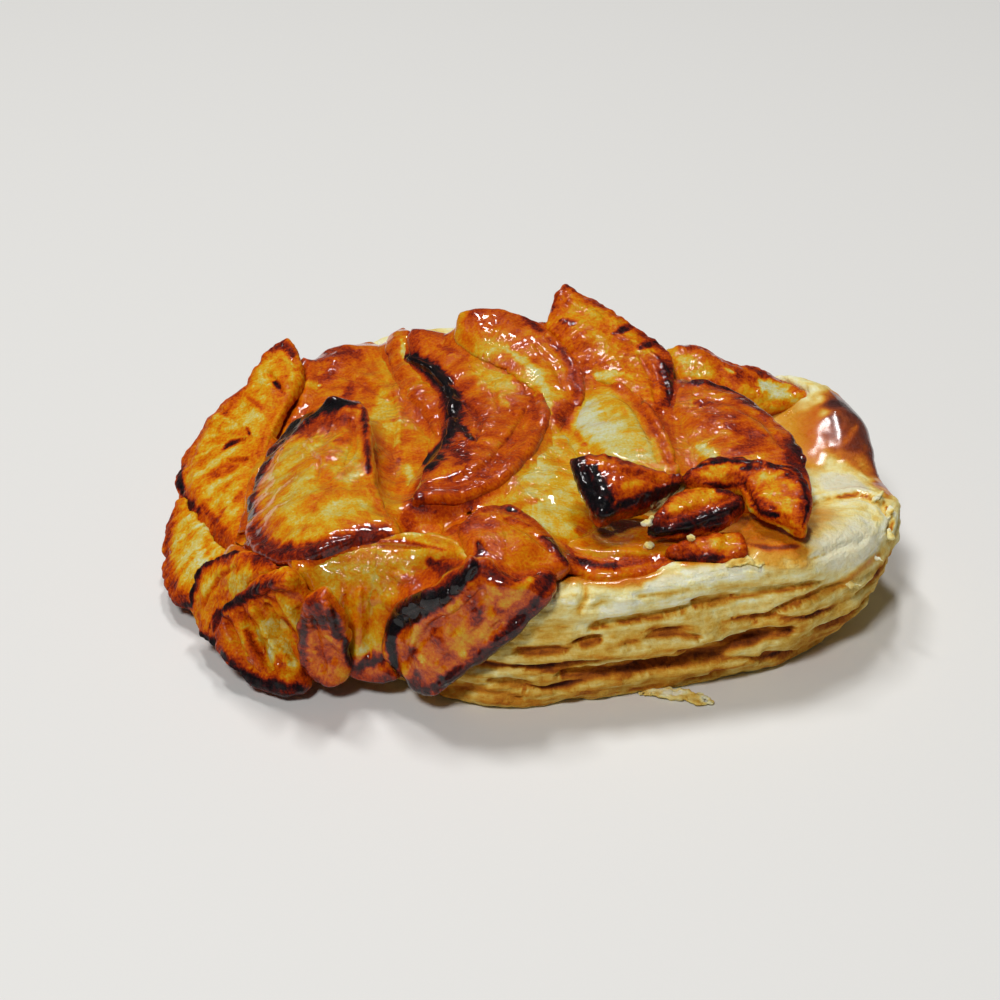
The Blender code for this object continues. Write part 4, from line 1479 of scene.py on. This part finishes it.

# What the bare sheets show: browned and pale places, splits with painted shade in them, and flakes that
# stand up.
PASTRY_MARKS = (
    stain(CREAM, 8, (362, 330), (395, 322), (430, 326)),
    stain(BURNT, 9, (832, 400), (850, 405), (869, 420), (882, 446), (886, 466)),
    stain(AMBER, 7, (858, 425), (846, 440), (832, 450)),
    stain(CREAM, 12, (832, 478), (856, 482)),
    # painted shade along the crack under the lobe
    stain(BROWN, 2.2, (806, 507), (830, 498), (860, 494), (884, 503), (894, 520), (891, 531)),
    stain(CREAM, 8, (832, 550), (860, 546), (882, 536)),
    stain(BROWN, 5, (742, 542), (770, 548), (800, 546)),
    stain(CREAM, 18, (826, 484), (862, 488)),
    stain(CREAM, 18, (836, 545), (862, 540)),
    stain(CREAM, 12, (812, 556), (836, 556)),
    shaded_crack(RUST, 1, 4, (590, 630), (605, 626), (637, 620), (670, 615), (697, 606)),
    shaded_crack(AMBER, 1.3, 9, (697, 604), (716, 602), (736, 598)),
    shaded_crack(AMBER, 0.9, 4, (736, 598), (760, 594), (795, 588), (822, 583)),
    shaded_crack(RUST, 1.5, 9, (516, 652), (540, 652), (566, 651)),
    shaded_crack(RUST, 1.3, 8, (578, 644), (600, 640)),
    shaded_crack(RUST, 1.2, 6, (646, 637), (672, 634), (698, 637)),
    shaded_crack(AMBER, 0.6, 4, (626, 642), (636, 641)),
    shaded_crack(
        BROWN, 2.4, 12, (562, 676), (600, 672), (640, 667), (680, 661), (720, 650), (742, 640), (768, 633),
        (792, 630),
    ),
    shaded_crack(RUST, 1.2, 5, (774, 614), (800, 602), (826, 592), (846, 585)),
    shaded_crack(RUST, 0.8, 4, (752, 624), (780, 611)),
    shaded_crack(AMBER, 0.8, 4, (488, 681), (512, 685), (536, 688)),
    shaded_crack(GOLD, 0.5, 3, (594, 606), (602, 602), (612, 604)),
    shaded_crack(GOLD, 0.6, 5, (584, 580), (586, 596), (578, 611)),
    shaded_crack(RUST, 0.8, 6, (712, 672), (727, 671)),
    shaded_crack(AMBER, 0.6, 4, (440, 690), (470, 688), (520, 697)),
    shaded_crack(GOLD, 0.5, 3, (640, 597), (668, 593), (700, 588)),
    shaded_crack(AMBER, 0.5, 3, (810, 560), (840, 548), (868, 538)),
    shaded_crack(RUST, 0.7, 4, (806, 507), (830, 498), (860, 494), (884, 503), (894, 520), (891, 531)),
    ridge(0.7, 5, (806, 503), (830, 494), (860, 490), (884, 499)),
    ridge(0.6, 14, (520, 600), (600, 600), (680, 590), (760, 575)),
    ridge(0.7, 10, (600, 655), (660, 648), (720, 636)),
    ridge(0.6, 6, (640, 675), (680, 672), (720, 665), (760, 655)),
    stain(HONEY, 6, (640, 675), (680, 672), (720, 665), (760, 655)),
    stain(CREAM, 44, (832, 546), (858, 542)),
    stain(GOLD, 10, (810, 600), (850, 580), (880, 555)),
    stain(CREAM, 16, (650, 585), (700, 575), (760, 570)),
    stain(CREAM, 14, (600, 612), (640, 603)),
)

# Where the syrup ran over the pastry.
PASTRY_GLAZE = (
    stain(GOLD, 110, (330, 470), (480, 490), (636, 480)),
    stain(CREAM, 46, (830, 546), (860, 542)),
    stain(CREAM, 26, (828, 482), (862, 486)),
    stain(GOLD, 60, (740, 520), (775, 535), (805, 540)),
    stain(HONEY, 40, (800, 515), (826, 520)),
    stain(AMBER, 30, (690, 560), (735, 552)),
    stain(HONEY, 40, (780, 396), (796, 430), (808, 462)),
    stain(GOLD, 30, (814, 410), (814, 432), (818, 456)),
    stain(RUST, 40, (838, 430), (856, 446)),
    stain(BROWN, 44, (838, 402), (856, 410), (874, 428)),
    stain(BROWN, 54, (868, 424), (884, 448), (890, 474)),
    stain(GOLD, 14, (560, 577), (620, 580), (680, 576)),
)

# Where the syrup stands in pools.
SYRUP_MARKS = (
    stain(HONEY, 34, (355, 502), (392, 500)),
    stain(GOLD, 18, (350, 486), (395, 484)),
    stain(GOLD, 26, (590, 530), (660, 530)),
    stain(AMBER, 12, (470, 515), (430, 505)),
    stain(
        CHAR, 13, (406, 356), (420, 362), (432, 372), (446, 386), (454, 402), (454, 420), (446, 438),
        (434, 450),
    ),
    stain(CHAR, 14, (422, 460), (436, 454)),
)

# Where the syrup's skin folded into curls.
CURL_MARKS = (
    fold(52, (492, 362), (500, 388)),
    fold(40, (325, 444)),
    fold(26, (345, 470)),
    fold(34, (408, 394), (402, 412)),
    fold(30, (572, 352), (578, 380)),
    fold(26, (552, 408), (556, 425)),
    fold(34, (655, 440), (668, 466)),
    fold(30, (560, 452), (545, 470)),
    fold(32, (690, 390), (688, 405)),
    fold(36, (700, 448), (715, 458)),
    fold(24, (705, 415), (725, 420)),
    fold(40, (350, 572), (400, 575)),
    fold(30, (480, 530), (500, 540)),
    fold(30, (470, 600), (455, 612)),
    fold(34, (470, 440), (480, 430)),
    fold(30, (505, 450), (480, 475)),
    fold(26, (380, 455), (395, 475)),
    fold(26, (525, 475), (530, 490)),
)


@dataclass
class PastryCase:
    """The round of risen puff pastry under the apples, whose sheets split, brown and flake at the side."""

    marks: tuple[Mark, ...]
    glaze: tuple[Mark, ...]
    node: str = "pastry"
    voxel: float = 0.51
    mean_radius: float = 48.0
    swell: float = 0.35  # mm that the surface stands out all over, to make up for the evening out
    evened: float = 0.9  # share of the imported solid's steps that is evened out on the side
    evened_flat: float = 0.25  # how much of that is done on the flat top
    sheet_pitch: float = 0.75  # mm from one thin sheet to the next, up the side
    sheet_length: float = 7.0  # mm that a sheet runs before it breaks off
    sheet_height: float = 0.4
    wave_length: float = 14.0  # of the wide swells in the side, which are less far apart up it
    wave_pitch: float = 4.0
    wave_height: float = 0.6
    blister_height: float = 0.3
    layer_pitch: float = 3.6  # mm from one thick layer to the next
    layer_length: float = 9.0  # mm that the split between two layers runs
    layer_bulge: float = 0.5
    layer_bend: float = 2.4  # mm that a layer rises and falls on its way round
    split_width: float = 0.95  # half the height of a split where it opens most
    split_least: float = 0.45  # a split no higher than this fades out instead of getting thinner
    split_depth: float = 0.9
    levelling: float = 0.8  # share of the relief that the glaze fills
    narrowest: float = 8.0  # pixels: a groove any narrower would be finer than the mesh
    smooth_band: float = 13.5  # above this height the side stayed shut
    flesh: float = 0.15  # how done the bare sheets are, on the scale of Bake
    broad_bake: float = 0.08  # how much more or less done wide patches are
    patch_bake: float = 0.06  # and small ones
    # painted shade in the splits between layers
    painted_split_shade: float = 0.28
    sheet_bake: float = 0.16
    # painted shade in the hollows, and a little painted light on the ridges
    painted_hollow_shade: float = 0.42
    hollow: float = 0.6  # how deep a hollow is that gets the full painted shade
    # painted shade, darker down the side
    painted_side_shade: float = 0.17
    side_top: float = 16.5  # above this height the side gets less painted shade
    foot_browning_and_shade: float = 0.12
    foot: float = 6.0  # below this height it darkens again: browning where it sat on the tray, and painted shade

    def build(self) -> bpy.types.Object:
        """Models the pastry.

        Returns:
            The finished piece.
        """
        piece = copy_of_solid(self.node)
        rebuild_surface(piece, self.voxel)
        keep_largest_body(piece)
        self.even_sides(piece)
        self.split_sheets(piece)
        self.paint(piece)
        return piece

    def laid_out(self, places: np.ndarray) -> np.ndarray:
        """Places laid out flat: mm round the side, mm from the middle, and mm up."""
        around = np.arctan2(places[:, 1], places[:, 0]) * self.mean_radius
        return np.stack([around, np.hypot(places[:, 0], places[:, 1]), places[:, 2]], axis=1)

    def sheets(self, places: np.ndarray) -> np.ndarray:
        """How far each place's thin sheet stands out, from about -1 to 1."""
        sizes = (self.sheet_length, self.sheet_length, self.sheet_pitch)
        return patchiness(self.laid_out(places) / sizes, size=1.0, seed=3)

    def uprightness(self, normals: np.ndarray) -> np.ndarray:
        """How upright the surface is: 0 where it lies flat, and over 1 where it is steep."""
        return 2.2 * np.hypot(normals[:, 0], normals[:, 1])

    def side_share(self, normals: np.ndarray) -> np.ndarray:
        """How much each vertex belongs to the side: 1 on it, 0 on the flat top and underside."""
        return np.clip(self.uprightness(normals) - 0.9, 0.0, 1.0)

    def layers(self, places: np.ndarray) -> tuple[np.ndarray, np.ndarray]:
        """Finds the thick layers that the side rose in.

        Args:
            places: N places in mm.

        Returns:
            How far each place stands out with its layer, and how open the split beside it is, 0 to 1.
        """
        flat = self.laid_out(places)
        bend = self.layer_bend * patchiness(flat * (1.0, 0.0, 0.4), size=16.0, seed=21)
        phase = (flat[:, 2] + bend) / self.layer_pitch
        nearest = np.round(phase)
        away = np.abs(phase - nearest)
        apart = nearest * 3.7  # far enough that two layers split in different places
        spots = np.stack([flat[:, 0] / self.layer_length, apart, np.zeros(len(places))], axis=1)
        open_share = np.clip(2.2 * patchiness(spots, size=1.0, seed=31) + 0.25, 0.0, 1.0)
        opening = self.split_width * open_share
        split = np.clip(1.3 - away * self.layer_pitch / np.maximum(opening, self.split_least), 0.0, 1.0)
        split *= np.clip(2.0 * opening, 0.0, 1.0)
        bulge = np.sin(math.pi * np.clip(away + 0.1, 0.0, 0.5)) ** 0.7
        below = np.clip((self.smooth_band - flat[:, 2]) / 2.5, 0.0, 1.0)
        return bulge * below, split * below

    def even_sides(self, piece: bpy.types.Object) -> None:
        """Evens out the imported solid's steps, whose flakes are then made finer."""
        places, normals = vertex_places(piece.data), vertex_normals(piece.data)
        share = self.evened * np.clip(self.uprightness(normals), self.evened_flat, 1.0)
        moved = (evened_places(piece, passes=70) - places) * share[:, None]
        set_vertex_places(piece.data, places + moved + normals * self.swell)

    def split_sheets(self, piece: bpy.types.Object) -> None:
        """Opens the cracks, and breaks each sheet's edge into thin flakes."""
        places, normals = vertex_places(piece.data), vertex_normals(piece.data)
        flakes = self.sheets(places)
        sizes = (self.wave_length, self.wave_length, self.wave_pitch)
        waves = patchiness(self.laid_out(places) / sizes, size=1.0, seed=8)
        bulge, split = self.layers(places)
        lift = self.sheet_height * flakes + self.wave_height * waves
        lift += self.layer_bulge * (bulge - 0.6) - self.split_depth * split
        lift *= self.side_share(normals)
        for size, seed in ((4.0, 2), (1.5, 6)):
            lift += self.blister_height * patchiness(places, size, seed)
        for mark in self.glaze:
            lift *= 1.0 - self.levelling * VIEW.cover(places, mark)
        for mark in self.marks:
            if mark.height:
                widened = Mark(max(mark.width, self.narrowest), mark.run)
                lift += mark.height * VIEW.cover(places, widened, 0.5 * flakes)
        places += normals * lift[:, None]
        places[:, 2] = np.maximum(places[:, 2], 0.0)
        set_vertex_places(piece.data, places)
        smooth_out(piece, passes=2)

    def paint(self, piece: bpy.types.Object) -> None:
        """Works out how done and how wet the pastry is at each vertex, painted shade included."""
        places, normals = vertex_places(piece.data), vertex_normals(piece.data)
        height = places[:, 2]
        side = self.side_share(normals)
        _, split = self.layers(places)
        patches = patchiness(places, size=2.2, seed=5)
        broad = patchiness(places, size=9.0, seed=1)
        bake = self.flesh + self.broad_bake * broad + self.patch_bake * patches
        # painted shade in the splits
        bake += side * self.painted_split_shade * split
        bake += side * self.sheet_bake * np.clip(1.6 * self.sheets(places), -0.3, 1.0)
        # painted shade: the side darker below side_top
        bake += side * self.painted_side_shade * np.clip((self.side_top - height) / 6.0, 0.0, 1.0)
        # darker near the bottom: real browning from the tray, and painted shade
        bake += self.foot_browning_and_shade * np.clip(1.0 - height / self.foot, 0.0, 1.0)
        # painted shade: darker in the hollows
        bake += self.painted_hollow_shade * np.clip(hollow_depth(piece, passes=12) / self.hollow, -0.15, 1.0)
        glazed = np.zeros(len(places))
        for mark in self.glaze:
            cover = VIEW.cover(places, mark, 0.4 * patches)
            bake = toward(bake, mark.bake, cover)
            glazed = np.maximum(glazed, cover)
        # the marks' colours, with the painted shade in the cracks
        for mark in self.marks:
            if mark.bake is not None:
                bake = toward(bake, mark.bake, VIEW.cover(places, mark, 0.6 * patches))
        set_looks(piece.data, bake, glazed, sheet=self.laid_out(places))

    def dress(self, piece: bpy.types.Object, finish: bpy.types.Material) -> None:
        """Gives the pastry its material and its place in the frame."""
        finish_piece(piece, finish, self.node)


@dataclass
class Syrup:
    """The sugar glaze that ran together in the hollows between the wet slices."""

    marks: tuple[Mark, ...]
    voxel: float = 0.65
    reach: float = 2.6  # mm: half as wide as the widest gap that the syrup bridges
    sink: float = 2.9  # mm that its surface then draws back, so that it shows only in the hollows
    hide: float = 2.2  # mm that it lies deeper under dry slices, where there is none
    lowest: float = 12.0  # mm above the table
    thinning: float = 3.0  # mm above that at which it is whole
    wet_enough: Span = (0.35, 0.6)  # how wet slices are that it starts and is whole on
    tint: float = 0.03  # how much further it browned than the slices beside it
    patch_bake: float = 0.05
    sparse: int = 5  # one in this many of the slices' vertices gives its colour
    neighbours: int = 16  # to each place in the syrup
    clear: tuple[str, ...] = (
        "slice_wedge_burnt", "slice_leaf", "slice_hook", "slice_under_leaf", "slice_front_tip",
    )

    def build(self, slices: list[bpy.types.Object]) -> bpy.types.Object:
        """Models the syrup: the slices' joint shape, swollen until its gaps close and then drawn back.

        Args:
            slices: The finished slices that it lies between.

        Returns:
            The finished piece.
        """
        syrup = joined([linked_copy(piece) for piece in slices], "syrup_between_slices")
        syrup.data.materials.clear()
        for key in tuple(syrup.keys()):
            del syrup[key]  # any custom properties the copied slice carries
        for name in ("bake", "wet", "curl", "fibre"):
            syrup.data.attributes.remove(syrup.data.attributes[name])
        rebuild_surface(syrup, self.voxel)
        self.swell(syrup, self.reach)
        smooth_out(syrup, passes=6)
        self.swell(syrup, -self.sink)
        keep_largest_body(syrup)
        smooth_out(syrup, passes=8)
        self.paint(syrup, slices)
        return syrup

    def swell(self, syrup: bpy.types.Object, distance: float) -> None:
        """Moves the surface out by this many mm, or in where that is negative, and makes it whole again."""
        apply_modifier(syrup, "DISPLACE", strength=distance * MM, mid_level=0.0)
        rebuild_surface(syrup, self.voxel)

    def paint(self, syrup: bpy.types.Object, slices: list[bpy.types.Object]) -> None:
        """Takes the colour of the slices beside each place, and hides the syrup where they are dry."""
        step = self.sparse
        near = np.concatenate([vertex_places(piece.data)[::step] for piece in slices])
        # the slices' doneness, painted shade included
        bakes = np.concatenate([vertex_values(piece.data, "bake")[::step] for piece in slices])
        wets = np.concatenate([vertex_values(piece.data, "wet")[::step] for piece in slices])
        tree = KDTree(len(near))
        for index, place in enumerate(near):
            tree.insert(place, index)
        tree.balance()
        places, normals = vertex_places(syrup.data), vertex_normals(syrup.data)
        beside = np.array([[found[1] for found in tree.find_n(place, self.neighbours)] for place in places])
        bake, wet = bakes[beside].mean(axis=1), wets[beside].mean(axis=1)
        patches = patchiness(places, size=4.0, seed=4)
        bake += self.tint
        for mark in self.marks:
            bake = toward(bake, mark.bake, VIEW.cover(places, mark, 0.4 * patches))
        shown = np.interp(wet, self.wet_enough, (0.0, 1.0))
        shown *= np.clip((places[:, 2] - self.lowest) / self.thinning, 0.0, 1.0)
        set_vertex_places(syrup.data, places - normals * (self.hide * (1.0 - shown))[:, None])
        looks = {"curl": curled(places), "fibre": places}
        set_looks(syrup.data, bake + self.patch_bake * patches, np.ones(len(places)), **looks)

    def dress(self, piece: bpy.types.Object, finish: bpy.types.Material) -> None:
        """Gives the syrup its material and its place in the frame."""
        finish_piece(piece, finish)


@dataclass(frozen=True)
class Scrap:
    """A bit of broken pastry: a photograph pixel under its middle, what it lies on, and its size in mm."""

    pixel: Pixel
    on: str
    size: Place
    turn: float = 0.0  # degrees about the upright
    tip: float = 0.0  # degrees that its right end is up


@dataclass
class PastryScraps:
    """The crumbs and flakes that broke off the pastry's edges, where the photograph shows them."""

    scraps: tuple[Scrap, ...]
    table: str = "table"
    ragged: float = 0.7  # mm that their edges are torn by
    voxel: float = 0.13
    flesh: float = 0.14
    patch_bake: float = 0.35

    def build(self, pieces: dict[str, bpy.types.Object]) -> bpy.types.Object:
        """Models the scraps.

        Args:
            pieces: The finished pieces that they lie on, by node.

        Returns:
            All scraps as one piece.
        """
        piece = joined([self.lay(scrap, pieces) for scrap in self.scraps], "pastry_scraps")
        bpy.ops.object.transform_apply(location=True, rotation=True, scale=True)
        crumple(piece, size=1.4, height=1.3 * self.ragged)
        crumple(piece, size=0.6, height=self.ragged)
        rebuild_surface(piece, self.voxel)
        places = vertex_places(piece.data)
        bake = self.flesh + self.patch_bake * patchiness(places, size=1.5, seed=3)
        set_looks(piece.data, bake, np.zeros(len(places)), sheet=places)
        return piece

    def lay(self, scrap: Scrap, pieces: dict[str, bpy.types.Object]) -> bpy.types.Object:
        """Lays one scrap on what it fell on, as a flattened ball that is torn later."""
        if scrap.on == self.table:
            place = VIEW.at_height(scrap.pixel, scrap.size[2] / 2)
        else:
            place = VIEW.trace(vertex_places(pieces[scrap.on].data), (scrap.pixel,))[0]
        bpy.ops.object.select_all(action="DESELECT")
        bpy.ops.mesh.primitive_ico_sphere_add(
            subdivisions=4,
            radius=0.5 * MM,
            location=Vector(place) * MM,
            rotation=(0.0, math.radians(-scrap.tip), math.radians(scrap.turn)),
            scale=scrap.size,
        )
        return bpy.context.object

    def dress(self, piece: bpy.types.Object, finish: bpy.types.Material) -> None:
        """Gives the scraps their material and their place in the frame."""
        finish_piece(piece, finish)


SCRAPS = (
    Scrap((672, 694), "table", (8.0, 2.4, 0.8), turn=-8.0),
    Scrap((655, 691), "table", (5.0, 2.0, 0.6), turn=15.0),
    Scrap((698, 699), "table", (4.5, 3.0, 0.6), turn=-25.0),
    Scrap((648, 523), "slice_leaf", (2.0, 1.0, 0.9), turn=30.0),
    Scrap((651, 519), "slice_leaf", (1.2, 0.8, 0.8), turn=80.0),
    Scrap((650, 545), "slice_front_low", (1.9, 1.4, 1.1), turn=60.0),
    Scrap((691, 538), "slice_under_leaf", (1.2, 0.9, 0.8), turn=10.0),
    Scrap((728, 557), "pastry", (3.2, 1.4, 0.7), turn=35.0, tip=25.0),
    Scrap((737, 562), "pastry", (4.6, 2.4, 0.8), turn=10.0, tip=8.0),
    Scrap((752, 561), "pastry", (3.6, 2.2, 0.7), turn=-15.0, tip=-10.0),
    Scrap((637, 573), "pastry", (2.6, 1.5, 0.6), turn=0.0, tip=10.0),
    Scrap((878, 497), "pastry", (2.6, 0.9, 0.7), turn=40.0, tip=20.0),
    Scrap((889, 514), "pastry", (3.2, 0.8, 0.8), turn=75.0, tip=10.0),
    Scrap((890, 534), "pastry", (2.8, 0.9, 0.7), turn=95.0, tip=10.0),
    Scrap((877, 558), "pastry", (3.4, 0.8, 0.6), turn=125.0, tip=-5.0),
    Scrap((852, 584), "pastry", (3.6, 0.8, 0.6), turn=155.0, tip=-8.0),
)


@dataclass
class Studio:
    """A plain pale floor, soft light, and the camera at the photograph's viewing angle."""

    floor_side: float = 4000.0
    floor_drop: float = 0.1  # mm that the floor lies under the table's height, so that no faces meet
    floor_colour: str = "E4E3E0"
    floor_roughness: float = 0.7
    room_colour: str = "F4EEE6"
    room_light: float = 0.06
    strip: Span = (120.0, 320.0)  # the sides of a light
    strip_power: float = 4.6
    front: Span = (220.0, 220.0)
    front_power: float = 8.4
    near_limit: float = 10.0  # mm ahead of the camera at which things start to show

    def build(self) -> None:
        """Makes the floor, the lights and the camera."""
        self.lay_floor()
        self.hang_light("left_strip", (-300.0, 420.0, 1150.0), self.strip, self.strip_power)
        self.hang_light("right_strip", (40.0, 420.0, 1150.0), self.strip, self.strip_power)
        self.hang_light("front_light", (-300.0, -760.0, 1000.0), self.front, self.front_power)
        self.light_room()
        self.aim_camera()

    def lay_floor(self) -> None:
        """Lays the floor that the tart stands on."""
        bpy.ops.object.select_all(action="DESELECT")
        below = (0.0, 0.0, -self.floor_drop * MM)
        bpy.ops.mesh.primitive_plane_add(size=self.floor_side * MM, location=below)
        floor = bpy.context.object
        floor.name = "floor"
        material = bpy.data.materials.new("pale_matte_board")
        material.use_nodes = True
        tree = material.node_tree
        looks = {"Base Color": linear(self.floor_colour), "Roughness": self.floor_roughness}
        feed(tree, tree.nodes["Principled BSDF"], looks)
        floor.data.materials.append(material)

    def hang_light(self, name: str, place: Place, sides: Span, power: float) -> None:
        """Hangs an oblong soft light that faces the tart.

        Args:
            name: The light's name.
            place: Its centre in mm.
            sides: Its width and height in mm.
            power: Its power in watts.
        """
        data = bpy.data.lights.new(name, "AREA")
        data.shape = "RECTANGLE"
        data.size, data.size_y = (side * MM for side in sides)
        data.energy = power
        light = bpy.data.objects.new(name, data)
        light.location = Vector(place) * MM
        light.rotation_euler = (-Vector(place)).to_track_quat("-Z", "Y").to_euler()
        bpy.context.scene.collection.objects.link(light)

    def light_room(self) -> None:
        """Fills the room with a faint even light."""
        world = bpy.data.worlds.new("soft_room")
        world.use_nodes = True
        tree = world.node_tree
        looks = {"Color": linear(self.room_colour), "Strength": self.room_light}
        feed(tree, tree.nodes["Background"], looks)
        bpy.context.scene.world = world
        bpy.context.scene.view_settings.view_transform = "Standard"

    def aim_camera(self) -> None:
        """Sets the camera at the photograph's height and distance."""
        data = bpy.data.cameras.new("camera")
        data.lens = VIEW.lens
        data.sensor_width = VIEW.sensor
        data.clip_start = self.near_limit * MM
        camera = bpy.data.objects.new("camera", data)
        camera.location = Vector(VIEW.stand()) * MM
        camera.rotation_euler = Vector(VIEW.axes()[2]).to_track_quat("-Z", "Y").to_euler()
        bpy.context.scene.collection.objects.link(camera)
        bpy.context.scene.camera = camera


def main() -> None:
    """Builds the tart from the pastry up, and then the studio round it."""
    logging.basicConfig(level=logging.INFO, format="%(name)s %(message)s")
    apple = BakedAppleFinish().make()
    puff = PuffPastryFinish().make()
    pastry = PastryCase(marks=PASTRY_MARKS, glaze=PASTRY_GLAZE)
    pieces = {pastry.node: pastry.build()}
    pastry.dress(pieces[pastry.node], puff)
    for apple_slice in SLICES:
        pieces[apple_slice.node] = apple_slice.build()
        apple_slice.dress(pieces[apple_slice.node], apple)
    syrup = Syrup(marks=SYRUP_MARKS)
    around = [pieces[apple_slice.node] for apple_slice in SLICES if apple_slice.node not in syrup.clear]
    syrup.dress(syrup.build(around), apple)
    scraps = PastryScraps(SCRAPS)
    scraps.dress(scraps.build(pieces), puff)
    Studio().build()


if __name__ == "__main__":
    main()
